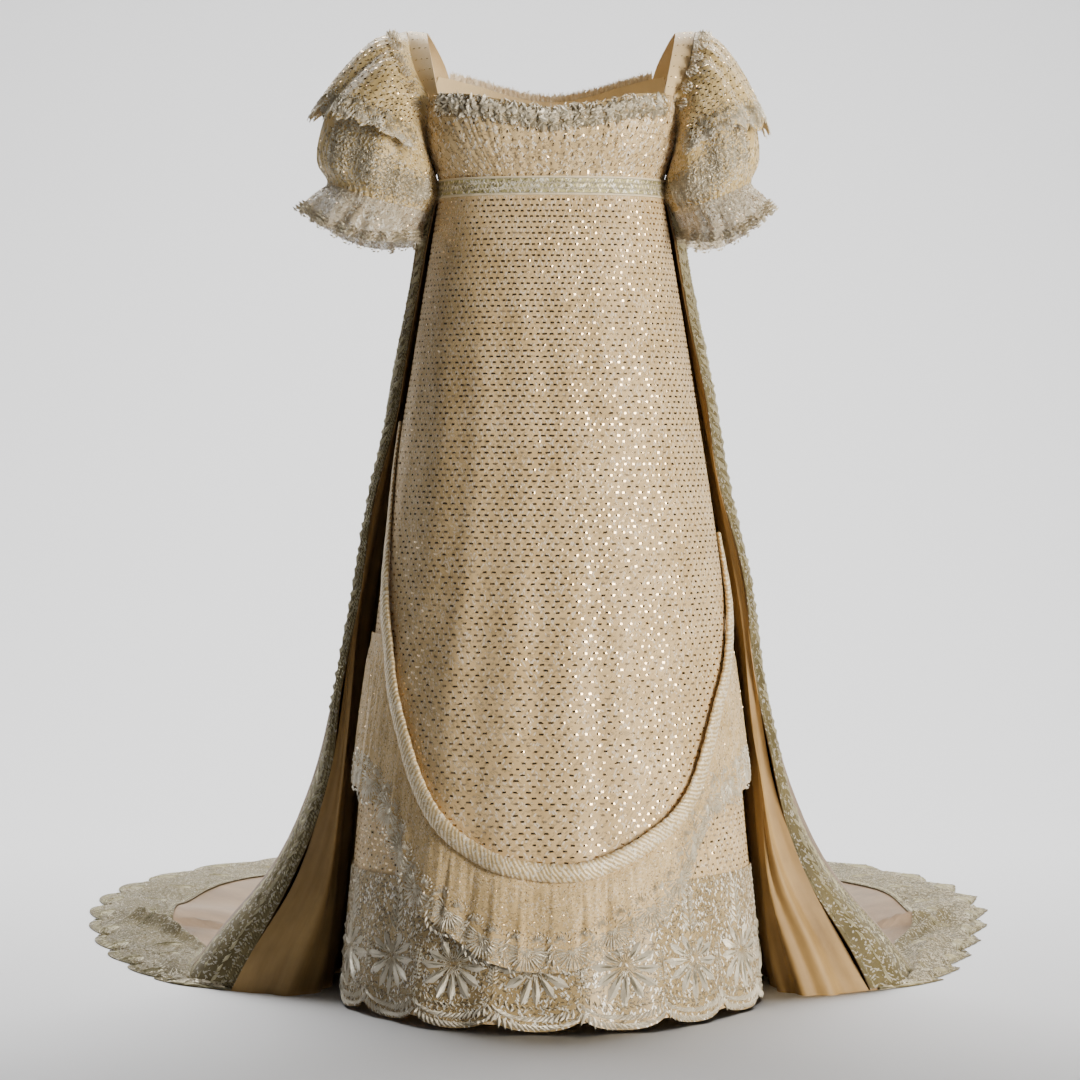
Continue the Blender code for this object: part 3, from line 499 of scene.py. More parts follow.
roll_stripes, ribbon = stripe_finish(), ribbon_finish()
fray, tree, shader = new_material("frayed_lace", 0.75, 0.0, Sheen_Weight=0.4)
tone = tone_of(tree, 90.0)
tree.links.new(mixed(tree, tone, (0.86, 0.78, 0.64), (0.66, 0.52, 0.34)), shader.inputs["Base Color"])
print("finishes:", [material.name for material in bpy.data.materials])

# %% [markdown]
# ## A grid becomes cloth
# Every piece of cloth is a grid of points from a function of two numbers. From the grid come normals,
# the wall between its two faces, and a way to read the surface between its points. The last one lets us
# sew: each point of a leaf drawn flat is carried to the cloth, so the leaf bends with every fold.

# %% Curves, cloth and walls
def curve(keys, values, at):
    """Cubic pieces through the values at the keys; each slope is the mean of the rises beside it."""
    keys, values = np.asarray(keys, float), np.asarray(values, float)
    slopes = np.gradient(values, keys)
    at = np.clip(at, keys[0], keys[-1])
    i = np.clip(np.searchsorted(keys, at, side="right") - 1, 0, len(keys) - 2)
    span = keys[i + 1] - keys[i]
    t = (at - keys[i]) / span
    return (values[i] * (1 + 2 * t) * (1 - t) ** 2 + values[i + 1] * t**2 * (3 - 2 * t)
            + span * slopes[i] * t * (1 - t) ** 2 - span * slopes[i + 1] * t**2 * (1 - t))


def unit(vectors):
    """Vectors over their own length."""
    return vectors / np.linalg.norm(vectors, axis=-1, keepdims=True)


def length_along(line):
    """The way along a line of points to each of them, the steps' lengths added up."""
    return np.concatenate([[0], np.cumsum(np.linalg.norm(np.diff(line, axis=0), axis=1))])


def ease(low, high, value):
    """Rises smoothly from 0 to 1 as a value goes from low to high."""
    t = np.clip((value - low) / (high - low), 0, 1)
    return t * t * (3 - 2 * t)


class Cloth:
    """A surface on a grid, rows downwards and columns to the right as seen from outside.

    Its normals are the cross product of the steps down and right. upward is the share, from 0 to 1, by
    which they are turned straight up instead, where the cloth lies on the floor.
    """

    overhang = 2.5  # how many rows past the last one things may be sewn

    def __init__(self, points, closed=False, upward=0.0):
        self.points, self.closed = points, closed
        wide = np.concatenate([points[:, -1:], points, points[:, :1]], axis=1) if closed else points
        right, down = np.gradient(wide, axis=1), np.gradient(wide, axis=0)
        if closed:
            right, down = right[:, 1:-1], down[:, 1:-1]
        normals = unit(np.cross(down, right))
        self.normals = unit(normals * (1 - upward) + np.array([0, 0, 1.0]) * upward)
        fields = np.concatenate([points, self.normals, right, down], axis=-1)
        self.fields = np.concatenate([fields, fields[:, :1]], axis=1) if closed else fields
        self.across = np.concatenate([[0], np.cumsum(np.linalg.norm(right, axis=-1).mean(0)[:-1])])
        self.along = np.concatenate([[0], np.cumsum(np.linalg.norm(down, axis=-1).mean(1)[:-1])])

    def read(self, row, column):
        """Point, normal, and step right and down at a place between the grid's points."""
        rows, columns = self.fields.shape[:2]
        column = column % (columns - 1) if self.closed else column
        i = np.clip(row.astype(int), 0, rows - 2)
        j = np.clip(column.astype(int), 0, columns - 2)
        a, b = (row - i)[..., None], (column - j)[..., None]
        fields = self.fields
        upper = fields[i, j] * (1 - b) + fields[i, j + 1] * b
        lower = fields[i + 1, j] * (1 - b) + fields[i + 1, j + 1] * b
        value = upper * (1 - a) + lower * a
        return value[..., :3], value[..., 3:6], value[..., 6:9], value[..., 9:12]

    def raised(self, out, upward=0.0):
        """The same cloth moved out along its normals."""
        return Cloth(self.points + self.normals * out, self.closed, upward)


def dressed(obj, slot, *nodes):
    """Puts a finished piece on the gown's body and hides the cut pieces it stands for."""
    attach(obj, "root")
    if nodes:
        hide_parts(*nodes)
    print(f"{obj.name}: {len(obj.data.loops) - 2 * len(obj.data.polygons)} triangles")
    return obj


def wall(name, cloth, thickness, outside, inside=None):
    """A closed thin wall: the grid, the grid moved out along its normals, and rims between the two."""
    points = cloth.points
    rows, columns = points.shape[:2]
    count = rows * columns
    front = grid_quads(rows, columns, cloth.closed) + count
    numbers = np.arange(count).reshape(rows, columns)
    edge = np.roll(numbers, -1, 1) if cloth.closed else numbers[:, 1:]
    start = numbers if cloth.closed else numbers[:, :-1]
    quads = [front, (front - count)[:, ::-1]]
    quads.append(np.stack([start[0], start[0] + count, edge[0] + count, edge[0]], -1))
    quads.append(np.stack([start[-1], edge[-1], edge[-1] + count, start[-1] + count], -1))
    if not cloth.closed:
        left, right = numbers[:, 0], numbers[:, -1]
        quads.append(np.stack([left[:-1], left[1:], left[1:] + count, left[:-1] + count], -1))
        quads.append(np.stack([right[:-1], right[:-1] + count, right[1:] + count, right[1:]], -1))
    which = np.concatenate([np.full(len(q), 1 if i == 1 and inside else 0) for i, q in enumerate(quads)])
    both = np.concatenate([points.reshape(-1, 3), (points + thickness * cloth.normals).reshape(-1, 3)])
    uv = np.stack(np.broadcast_arrays(cloth.across[None, :], -cloth.along[:, None]), -1).reshape(-1, 2)
    quads, uv = np.concatenate(quads), np.concatenate([uv, uv])
    return mesh_object(name, both, quads, uv, [outside, inside] if inside else [outside], which, sharp=50)


# %% [markdown]
# ## Small things that are sewn on
# Leaves, petals, metal strips and bits of metal thread are motifs: a handful of points drawn flat, one
# metre long and wide. lay carries hundreds of copies of one to a cloth as whole arrays. A leaf has only
# six triangles, because there are thousands of them.

# %% Motifs
Motif = namedtuple("Motif", "points quads")


def ridged(stations):
    """A leaf one metre long and wide: two tips, and at each station a left point, a ridge and a right point.

    Stations are place along, width and height. Two facets slope from the ridge, and the back is flat, so a
    leaf with one station has only six triangles.
    """
    points = [(0, 0, 0)]
    for along, width, height in stations:
        points += [(-width / 2, along, 0), (0, along, height), (width / 2, along, 0)]
    points.append((0, 1, 0))
    faces = [(0, 2, 1, -1), (0, 3, 2, -1), (0, 1, 3, -1)]
    for i in range(1, 3 * len(stations) - 2, 3):
        faces += [(i, i + 1, i + 4, i + 3), (i + 1, i + 2, i + 5, i + 4), (i, i + 3, i + 5, i + 2)]
    i, end = 3 * len(stations) - 2, 3 * len(stations) + 1
    faces += [(i, i + 1, end, -1), (i + 1, i + 2, end, -1), (i, end, i + 2, -1)]
    return Motif(np.array(points, float), np.array(faces))


LEAF = ridged([(0.45, 1, 1)])
PETAL = ridged([(0.25, 0.66, 0.8), (0.66, 1, 1)])
# A metal strip with its middle arched, and a flat sliver of metal. Both lie along y
STRIP = Motif(np.array([(-0.5, -0.5, 0), (0.5, -0.5, 0), (0.5, 0.5, 0), (-0.5, 0.5, 0),
                        (-0.5, 0, 1), (0.5, 0, 1)]),
              np.array([(0, 1, 5, 4), (4, 5, 2, 3), (0, 4, 3, -1), (1, 2, 5, -1), (0, 3, 2, 1)]))
SLIVER = Motif(np.array([(-0.5, -0.5, 0), (0.5, -0.4, 0), (0, 0.5, 0), (0, 0, 1.0)]),
               np.array([(0, 1, 3, -1), (1, 2, 3, -1), (2, 0, 3, -1), (0, 2, 1, -1)]))
print("faces: leaf", len(LEAF.quads), "petal", len(PETAL.quads), "strip", len(STRIP.quads))

# %% Sewing them on
SEED = 1816
rng = np.random.default_rng(SEED)
MOST_ROWS, MOST_COLUMNS = 9, 20  # how far a point of a motif may lie from the motif's place
SIDE_OVERHANG = 1.5  # columns past each side


def grain(cloth, row, column):
    """Angle from the grid's right-hand direction to the level one, at places of a hanging cloth."""
    _, normal, right, _ = cloth.read(row, column)
    level = np.cross((0.0, 0.0, 1.0), normal)
    upward = np.cross(normal, level)
    return -np.arctan2((right * upward).sum(-1), (right * level).sum(-1))


def lay(cloth, motif, row, column, size, turn=0.0, shift=(0.0, 0.0), lift=0.0, tilt=(0.0, 0.0)):
    """Carries copies of a flat motif to the cloth.

    Each point is scaled, turned anticlockwise by an angle and shifted, all in metres on the cloth at
    (row, column). The steps right and down there turn metres into rows and columns, and the point is put
    at that place of the cloth, its height along the normal. A tilt adds height along x and y.
    """
    places = (row, column, turn, lift)
    row, column, turn, lift = (np.broadcast_to(np.asarray(v, float), np.shape(row)) for v in places)
    size = np.broadcast_to(np.asarray(size, float), (len(row), 3))
    local = motif.points[None] * size[:, None]
    x, y, z = local[..., 0], local[..., 1], local[..., 2]
    cosine, sine = np.cos(turn)[:, None], np.sin(turn)[:, None]
    across = x * cosine - y * sine + np.reshape(shift[0], (-1, 1))
    up = x * sine + y * cosine + np.reshape(shift[1], (-1, 1))
    z = z + lift[:, None] + x * np.reshape(tilt[0], (-1, 1)) + y * np.reshape(tilt[1], (-1, 1))
    _, _, right, down = cloth.read(row, column)
    long_right = np.linalg.norm(right, axis=-1)
    skew = (right * down).sum(-1) / long_right
    square = np.sqrt(np.maximum((down * down).sum(-1) - skew**2, 1e-12))
    rows = -up / square[:, None]
    columns = (across - rows * skew[:, None]) / long_right[:, None]
    last_row, last_column = np.array(cloth.points.shape[:2]) - 1
    rows = row[:, None] + np.clip(rows, -MOST_ROWS, MOST_ROWS)
    rows = np.clip(rows, -Cloth.overhang, last_row + cloth.overhang)
    columns = column[:, None] + np.clip(columns, -MOST_COLUMNS, MOST_COLUMNS)
    if not cloth.closed:
        columns = np.clip(columns, -SIDE_OVERHANG, last_column + SIDE_OVERHANG)
    point, normal = cloth.read(rows, columns)[:2]
    uv = np.stack([x, y + rng.random(len(row))[:, None]], -1)
    return point + z[..., None] * unit(normal), motif.quads, uv


def sewn(name, parts, materials, slot, smooth=True, which=None):
    """Joins laid motifs in one mesh. which gives the number of each part's material."""
    points, quads, uvs, numbers, start = [], [], [], [], 0
    for number, (laid, motif_quads, uv) in enumerate(parts):
        copies, corners = laid.shape[:2]
        points.append(laid.reshape(-1, 3))
        uvs.append(uv.reshape(-1, 2))
        first = start + np.arange(copies)[:, None, None] * corners
        quads.append(np.where(motif_quads[None] < 0, -1, motif_quads[None] + first).reshape(-1, 4))
        numbers.append(np.full(copies * len(motif_quads), which[number] if which else 0))
        start += copies * corners
    obj = mesh_object(name, np.concatenate(points), np.concatenate(quads), np.concatenate(uvs), materials,
                      np.concatenate(numbers), smooth=smooth, sharp=35 if smooth else None)
    dressed(obj, slot)


def embroider(cloth, anchors, leaves, height, lift=0.0, jitter=0.12, motif=LEAF):
    """Lays every leaf of a spray at every anchor, each a little different.

    anchors have columns row, column, turn and size; leaves have x, y, turn in degrees, length and width,
    for a spray of size 1 that points up.
    """
    at, leaf = np.asarray(anchors, float)[:, None], np.asarray(leaves, float)[None]
    cosine, sine, size = np.cos(at[..., 2]), np.sin(at[..., 2]), at[..., 3]
    x = (leaf[..., 0] * cosine - leaf[..., 1] * sine) * size
    y = (leaf[..., 0] * sine + leaf[..., 1] * cosine) * size
    turn = at[..., 2] + np.radians(leaf[..., 2])
    row, column = at[..., 0] + 0 * turn, at[..., 1] + 0 * turn
    values = (row, column, x, y, turn, leaf[..., 3] * size, leaf[..., 4] * size)
    row, column, x, y, turn, length, width = (value.ravel() for value in values)
    uneven = 1 + jitter * (rng.random((3, len(row))) - 0.5) * 2
    size = np.column_stack([width * uneven[0], length * uneven[1], np.full(len(row), height) * uneven[2]])
    lifts = lift + 0.0004 * rng.random(len(row))
    turn = turn + jitter * (rng.random(len(row)) - 0.5)
    return lay(cloth, motif, row, column, size, turn, (x, y), lifts)


print("random draws start from", SEED)

# %% [markdown]
# ## The form under the cloth
# A worn gown is round like the figure in it. A section at any height is a squared ellipse, wider at the
# sides than front to back, and tables give its sizes at eleven heights. Soft folds are bell-shaped ridges
# and troughs that grow towards the hem. All layers of the skirt use this one surface, each a little
# further out, so they never cut each other.

# %% The body surface
WAIST, BAND, HEM = 1.092, 0.025, 0.004  # heights above the floor, in metres
SILK, NET, GAP, SEAM = 0.0015, 0.0010, 0.0009, 0.0004
OVER_SKIRT = SILK + GAP + 0.0003
OVER_BORDER = OVER_SKIRT + NET + GAP
BODY = dict(
    height=(0, .186, .53, .77, .94, 1.03, 1.0795, 1.1045, 1.15, 1.21, 1.30),
    half_width=(.2795, .2635, .2325, .1985, .1705, .156, .149, .149, .164, .171, .172),
    front=(.298, .261, .204, .166, .136, .119, .113, .113, .129, .131, .118),
    back=(.248, .238, .211, .178, .138, .110, .101, .101, .105, .106, .100),
    squareness=(2.0, 2.0, 2.0, 2.1, 2.2, 2.3, 2.4, 2.4, 2.6, 2.7, 2.7),
)
# Ridges and troughs: angle at the hem, half width in degrees, depth, the height where each fades out
FOLDS = np.array([
    (-150, 11, .012, 1.00), (-112, 10, .010, .90), (-70, 10, .006, .60), (-50, 8, -.007, .55),
    (52, 8, -.005, .50), (72, 10, .005, .60), (114, 10, .010, .90), (152, 11, .012, 1.00),
    (-34, 5, .0035, 1.07), (-24, 4, -.0025, 1.07), (-14, 5, .0035, 1.05), (-4, 4, -.0030, 1.07),
    (7, 5, .0040, 1.07), (16, 3.5, -.0030, 1.00), (26, 5, .0045, 1.07), (38, 4.5, -.0035, 1.07),
    (62, 4, -.003, 1.07), (-64, 4, -.0035, 1.07), (82, 4, .003, 1.0), (-84, 4, .003, 1.0),
])


def fold_depth(angle, height):
    """Sum of bell curves round the body, each growing as a power of the way down from its top."""
    angle = (angle + 180) % 360 - 180
    total = 0.0006 * np.sin(np.radians(angle * 17) + 3 * np.sin(height * 7)) * ease(1.09, 0.8, height)
    for centre, half_width, depth, top in FOLDS:
        down = np.clip((top - height) / top, 0, 1)
        wander = centre + 1.2 * np.sin(height * 6 + centre)
        total = total + depth * down**1.1 * np.exp(-(((angle - wander) / half_width) ** 2))
    return total


def body(angle, height, out=0.0):
    """The squared ellipse of each height: radius = (|sin/w|^p + |cos/d|^p)^(-1/p), plus out and folds.

    The sine and cosine are the angle's; w is the half width, d the depth in front or behind, and p the
    squareness, each a smooth curve through its table. Heights are above the floor.
    """
    angle, height = np.broadcast_arrays(np.asarray(angle, float), np.asarray(height, float))
    sine, cosine = np.sin(np.radians(angle)), np.cos(np.radians(angle))
    wide, front, behind, power = (curve(BODY["height"], BODY[c], height)
                                  for c in ("half_width", "front", "back", "squareness"))
    deep = np.where(cosine > 0, front, behind)
    radius = (np.abs(sine / wide) ** power + np.abs(cosine / deep) ** power) ** (-1 / power)
    radius = radius + out + fold_depth(angle, height)
    return np.stack([radius * sine, -radius * cosine, height - SHOULDER], axis=-1)


class Round(Cloth):
    """A cloth round the body between two edges. Edges are heights at its angles; out is level."""

    def __init__(self, angles, top, bottom, rows, out=0.0):
        self.angles = angles
        self.top, self.bottom = top + 0 * angles, bottom + 0 * angles
        height = self.top + (self.bottom - self.top) * np.linspace(0, 1, rows)[:, None]
        turned = angles + 0 * height
        super().__init__(body(turned, height, out(turned, height) if callable(out) else out))

    def place(self, angle, height):
        """Row and column of a point that is given by its angle and height."""
        columns = len(self.angles)
        column = (angle - self.angles[0]) / (self.angles[-1] - self.angles[0]) * (columns - 1)
        top = np.interp(angle, self.angles, self.top)
        bottom = np.interp(angle, self.angles, self.bottom)
        return (top - height) / (top - bottom) * (len(self.points) - 1), column


def angles_between(start, end, step):
    """Evenly spaced angles, about a step apart, with both ends."""
    return np.linspace(start, end, int(round((end - start) / step)) + 1)


def dash_length(height):
    """Strips are pushed together where the net is gathered, at the waist, and seem shorter."""
    return 0.0048 + 0.0018 * ease(1.08, 0.7, height)


def dashes(first, last, top, bottom, angle_step, row_step):
    """Angles and heights of strips in staggered rows, like bricks."""
    heights = np.arange(bottom, top, row_step)
    angles = np.arange(first, last, angle_step)
    grid_angle = angles[None] + angle_step / 2 * (np.arange(len(heights)) % 2)[:, None]
    return grid_angle.ravel(), (heights[:, None] + 0 * grid_angle).ravel()


def strips(cloth, row, column, length=0.0070, width=0.0026, turn=0.0, lift=0.0009, tilt=0.16):
    """Bent metal strips on a net, each turned and tilted a little at random."""
    n = len(row)
    lengths = length * (1 + 0.12 * rng.standard_normal(n))
    size = np.column_stack([np.full(n, width), lengths, np.full(n, 0.0005)])
    turns = turn + math.pi / 2 + 0.07 * rng.standard_normal(n) + grain(cloth, row, column)
    return lay(cloth, STRIP, row, column, size, turns, lift=lift, tilt=tilt * rng.standard_normal((2, n)))


print("folds:", len(FOLDS))

# %% [markdown]
# ## The underskirt
# Four panels of silk under net meet in upright seams. The net's metal strips are woven in, each a bent
# sliver 5 to 7 mm long, in rows like bricks. They are small solids with an arched middle, because the
# real flash comes from strips that each lean a little differently; a texture would not glitter when the
# view changes. Only the parts that can be seen have them.

# %% Underskirt panels
SEAM_ANGLE = 0.16  # degrees between two panels
waist_top = WAIST - SEAM
for name, start, end in (("skirt_front", -52.5, 52.5), ("skirt_side_left", 52.5, 127.5),
                         ("skirt_back", 127.5, 232.5), ("skirt_side_right", 232.5, 307.5)):
    angles = angles_between(start + SEAM_ANGLE / 2, end - SEAM_ANGLE / 2, 1.5)
    hem_line = HEM + 0.010 + 0.002 * np.sin(np.radians(angles * 5))
    panel = Round(angles, waist_top, hem_line, 46)
    obj = dressed(wall(name + "_cloth", panel, SILK, silk_net, lit_silk_lining), "silk_and_net", name)

# %% Strips on the underskirt
STRIP_ANGLE, STRIP_ROW = 3.7, 0.0074  # the brick pattern's steps, in degrees and metres
# The overskirt's lower edge, which the roll covers: angles, and heights above the floor
ROLL_LINE = ((-90, -85, -80, -74, -68, -60, -52, -43, -32, -20, -5, 12, 20, 29, 40, 49, 59, 70, 80, 90),
             (.790, .735, .675, .605, .530, .445, .372, .308, .256, .223, .205, .208, .221, .242, .270,
              .312, .385, .455, .530, .640))
BORDER_TOP = 0.186
HIDDEN_BY_TRAIN = 128  # degrees from the front
skirt = Round(angles_between(-180, 180, 1.5), waist_top, HEM + 0.01, 46)
angle, height = dashes(-180, 180, 1.08, 0.192, STRIP_ANGLE, STRIP_ROW)
below_roll = (np.abs(angle) > 90) | (height < curve(*ROLL_LINE, angle) - 0.01)
seen = (np.abs(angle) < HIDDEN_BY_TRAIN) & below_roll
print("strips on the underskirt:", seen.sum())
laid = strips(skirt, *skirt.place(angle[seen], height[seen]), dash_length(height[seen]), lift=SILK)
sewn("underskirt_strips", [laid], [metal_strip], "silk_and_net", smooth=False)

# %% [markdown]
# ## The overskirt
# The net apron hangs from the waist to a deep U-shaped edge. It is the skirt's round surface, a little
# further out. Its strips are in the same staggered rows, and are shorter at the waist, where the net is
# gathered.

# %% Overskirt
over_angles = angles_between(-90, 90, 1.0)
over_top = WAIST - BAND / 2 - SEAM
overskirt = Round(over_angles, over_top, curve(*ROLL_LINE, over_angles), 60, OVER_SKIRT)
obj = dressed(wall("overskirt_net", overskirt, NET, silk_net), "spangled_net", "overskirt")
angle, height = dashes(-88.5, 89, over_top - 0.004, 0.2, STRIP_ANGLE, STRIP_ROW)
seen = height > curve(*ROLL_LINE, angle) + 0.006
laid = strips(overskirt, *overskirt.place(angle[seen], height[seen]), dash_length(height[seen]), lift=NET)
sewn("overskirt_strips", [laid], [metal_strip], "spangled_net", smooth=False)

# %% [markdown]
# ## The roll on its edge
# The edge is finished with a padded roll of striped satin. It is a profile carried along a path: an oval
# at each step of the edge, flat side to the skirt. It gets slimmer where it runs up beside the train.

# %% Roll
ROLL_HALF_WIDTH, ROLL_HALF_HEIGHT = 0.0122, 0.0052
ROLL_STEPS, ROLL_SIDES = 220, 16


def roll_on_edge():
    """An oval section that lies on the cloth, carried along the overskirt's lower edge."""
    angles = np.linspace(-89, 89, ROLL_STEPS)
    line = curve(*ROLL_LINE, angles)
    slim = ease(0.5, 0.7, line)
    half_height, half_width = ROLL_HALF_HEIGHT * (1 - slim / 2), ROLL_HALF_WIDTH * (1 - slim / 5)
    out = (OVER_BORDER + NET) * (1 - slim) + (OVER_BORDER - GAP) * slim + half_height
    path = body(angles, line, out)
    outward = unit(path - body(angles, line, out - 0.01))
    across = unit(np.cross(outward, np.gradient(path, axis=0)))
    turn = np.linspace(0, 2 * math.pi, ROLL_SIDES, endpoint=False)
    ripple = 1 + 0.05 * np.sin(np.arange(ROLL_STEPS) * 1.9)[:, None]
    rings = (path[:, None] + (ripple * half_width[:, None] * np.cos(turn))[..., None] * across[:, None]
             + (ripple * half_height[:, None] * np.sin(turn))[..., None] * outward[:, None])
    return rings, length_along(path), turn


rings, along, turn = roll_on_edge()
quads = grid_quads(ROLL_STEPS, ROLL_SIDES, closed=True)[:, ::-1]
corner = np.arange(ROLL_SIDES)
end = np.stack([corner[1:-2:2] * 0, corner[1:-2:2], corner[2:-1:2], corner[3::2]], -1)
quads = np.concatenate([quads, end, end[:, ::-1] + ROLL_SIDES * (ROLL_STEPS - 1)])
uv = np.stack(np.broadcast_arrays(along[:, None], (np.cos(turn) * ROLL_HALF_WIDTH)[None]), -1).reshape(-1, 2)
dressed(mesh_object("overskirt_roll_satin", rings.reshape(-1, 3), quads, uv, [roll_stripes]),
        "striped_satin", "overskirt_roll")

# %% [markdown]
# ## Embroidery motifs
# The needlework is common ornament: fan shells, star flowers, feathery stems and slanting leaves. Each is
# a short table of leaves drawn once, in metres, pointing up, and used at many sizes. Leaves are raised,
# because metal thread is laid over padding, and the light breaks on their ridges.

# %% Sprays of leaves
def fan(rays, spread, inner, outer, width):
    """Leaves like the ribs of a shell: directions evenly over a spread, from an inner to an outer circle."""
    angles = np.linspace(-spread, spread, rays)
    a = np.radians(angles)
    reach = (outer - inner) * (1 - 0.12 * (angles / spread) ** 2)
    return np.column_stack([-inner * np.sin(a), inner * np.cos(a), angles, reach, 0 * a + width])


def feather(length, pairs, leaf, width, slant=38, stem=0.0014):
    """A stem with pairs of slanting leaves and one at its tip."""
    at = np.linspace(0.08, 0.88, pairs) * length
    reach = leaf * (1.15 - at / length * 0.5)
    sides = [np.column_stack([0 * at, at, 0 * at + side * slant, reach, 0 * at + width]) for side in (-1, 1)]
    return np.vstack([[0, 0, 0, length, stem]] + sides)


def rim_of(radius, count, leaf, width, slant=25, spread=95):
    """Slanting leaves along the arc of a shell."""
    angles = np.linspace(-spread, spread, count)
    a = np.radians(angles)
    return np.column_stack([-radius * np.sin(a), radius * np.cos(a), angles + 90 - slant, 0 * a + leaf,
                            0 * a + width])


SHELL = np.vstack([fan(11, 84, 0.004, 0.0205, 0.0030), rim_of(0.0205, 9, 0.0085, 0.0032)])
# Directions in degrees from straight down, and lengths, of a flower's petals
PETALS = np.array([(0, 0.036), (27, 0.032), (-26, 0.034), (52, 0.036), (-53, 0.035), (80, 0.034),
                   (-82, 0.033), (112, 0.027), (-110, 0.028), (146, 0.020), (-148, 0.020)])


def flower():
    """A star flower that opens downwards: long petals, with fine leaves between them."""
    a = np.radians(PETALS[:, 0])
    petals = np.column_stack([0.011 * np.sin(a), -0.011 * np.cos(a), PETALS[:, 0] + 180, PETALS[:, 1] * 1.1,
                              0 * a + 0.0108])
    ribs = petals * (1, 1, 1, 0.72, 0.26)
    fine = fan(26, 172, 0.003, 0.024, 0.0016)
    fine[:, 2] += 180
    fine[:, :2] *= -1
    return petals, ribs, fine


FLOWER, FLOWER_RIBS, FLOWER_CENTRE = flower()
FEATHER = feather(0.070, 8, 0.0180, 0.0042, 45)
BIG_SHELL = np.vstack([fan(17, 104, 0.009, 0.0300, 0.0030), fan(9, 96, 0.001, 0.011, 0.0026),
                       rim_of(0.0300, 15, 0.0095, 0.0036, spread=108)])


def glitter(cloth, row, column, length=0.0038, width=0.0013, height=0.0007, lift=0.0):
    """Short bits of metal thread in all directions."""
    n = len(row)
    widths = width * rng.uniform(0.7, 1.3, n)
    size = np.column_stack([widths, length * rng.uniform(0.6, 1.4, n), np.full(n, height)])
    return lay(cloth, SLIVER, row, column, size, rng.uniform(0, 2 * math.pi, n), lift=lift,
               tilt=rng.uniform(-0.25, 0.25, (2, n)))


def anchors_at(place, turn=0.0, size=1.0):
    """Anchors for sprays at places given as rows and columns."""
    row, column = place
    return np.column_stack([row, column, turn + 0 * row, size + 0 * row])

# %% [markdown]
# ## The hem border
# A net border with scallops is laid over the skirt's hem. A flower sits over each scallop with a feather
# above it, slanting leaves follow the scallops in three lines, and short bits of metal fill the ground.

# %% Scallops
SCALLOPS, SCALLOP_PHASE, SCALLOP_TIP, SCALLOP_DEPTH = 16, 7.5, 0.004, 0.022
SCALLOP_ANGLE = 360 / SCALLOPS
MEAN_RADIUS = 0.27  # of the skirt at its hem


def scallop_height(angle):
    """Round scallops: a tip height plus the depth times 1 - sqrt(1 - u^2), u from -1 to 1 over each."""
    across = 2 * (((angle - SCALLOP_PHASE) * SCALLOPS / 360) % 1) - 1
    return SCALLOP_TIP + SCALLOP_DEPTH * (1 - np.sqrt(np.clip(1 - across**2, 0, 1)))


def along_scallops(first, last, step, rise):
    """Places on a line that runs above the scallops, with the direction of its slope."""
    angle = np.arange(first, last, step)
    height = scallop_height(angle) * 0.92 + rise
    rise_over_step = scallop_height(angle + 0.05) - scallop_height(angle - 0.05)
    slope = rise_over_step / (0.1 * math.radians(1) * MEAN_RADIUS)
    return angle, height, np.arctan(np.clip(slope, -1.3, 1.3))

# %% Hem border
FLOWER_HEIGHT, FEATHER_HEIGHT, BETWEEN_HEIGHT = 0.084, 0.112, 0.060
BORDER_BITS = {"front": 7000, "back": 4200}
for name, first, last in (("front", -82.5, 97.5), ("back", 97.5, 277.5)):
    angles = angles_between(first + SEAM_ANGLE / 2, last - SEAM_ANGLE / 2, 0.6)
    border = Round(angles, BORDER_TOP, scallop_height(angles), 15, OVER_SKIRT)
    obj = dressed(wall(f"hem_border_{name}_net", border, NET, border_net), "silver_embroidery",
                  f"hem_border_{name}")
    centres = np.arange(first + SCALLOP_ANGLE / 2, last, SCALLOP_ANGLE)
    middle = border.place(centres + rng.uniform(-1, 1, len(centres)), FLOWER_HEIGHT)
    size = rng.uniform(1.02, 1.14, len(centres))
    flowers = anchors_at(middle, rng.uniform(-0.1, 0.1, len(centres)), size)
    parts = [embroider(border, flowers, FLOWER, 0.0030, NET, motif=PETAL),
             embroider(border, flowers, FLOWER_CENTRE, 0.0016, NET),
             embroider(border, flowers, FLOWER_RIBS, 0.0008, NET + 0.0026)]
    feathers = anchors_at(border.place(centres, FEATHER_HEIGHT))
    parts.append(embroider(border, feathers, FEATHER, 0.0018, NET))
    gaps = centres[1:] - SCALLOP_ANGLE / 2
    between = anchors_at(border.place(gaps, BETWEEN_HEIGHT), size=0.62)
    parts.append(embroider(border, between, FEATHER, 0.0018, NET))
    for rise, leaf, side, step in ((0.0050, 0.0150, -1, 1.3), (0.0160, 0.0145, 1, 1.3),
                                   (0.0290, 0.0090, -1, 1.6)):
        angle, height, slope = along_scallops(first + 0.6, last - 0.6, step, rise)
        line = anchors_at(border.place(angle, height), slope - math.pi / 2 + side * 0.55)
        leaves = np.array([(0, -leaf / 2, 0, leaf, leaf * 0.37)])
        parts.append(embroider(border, line, leaves, 0.0024, NET))
    n = BORDER_BITS[name]
    angle, height = rng.uniform(first + 0.4, last - 0.4, n), rng.uniform(0.012, 0.184, n)
    keep = height > scallop_height(angle) + 0.003
    place, half = border.place(angle[keep], height[keep]), keep.sum() // 2
    for part in (slice(None, half), slice(half, None)):
        parts.append(glitter(border, place[0][part], place[1][part], 0.0050, 0.0015, 0.0010, lift=NET))
    which = [0, 0, 2, 0, 0, 0, 0, 1, 1, 0]
    materials = [silver, dull_silver, dark_silver]
    sewn(f"hem_border_{name}_embroidery", parts, materials, "silver_embroidery", which=which)

# %% [markdown]
# ## The frill
# The flounce is a strip of net about half as long again as the width it covers. Small gathers start
# under the roll and merge in fewer, deeper folds: a sum of waves whose shares change from top to bottom.
# Fan shells hang side by side along its lower edge.

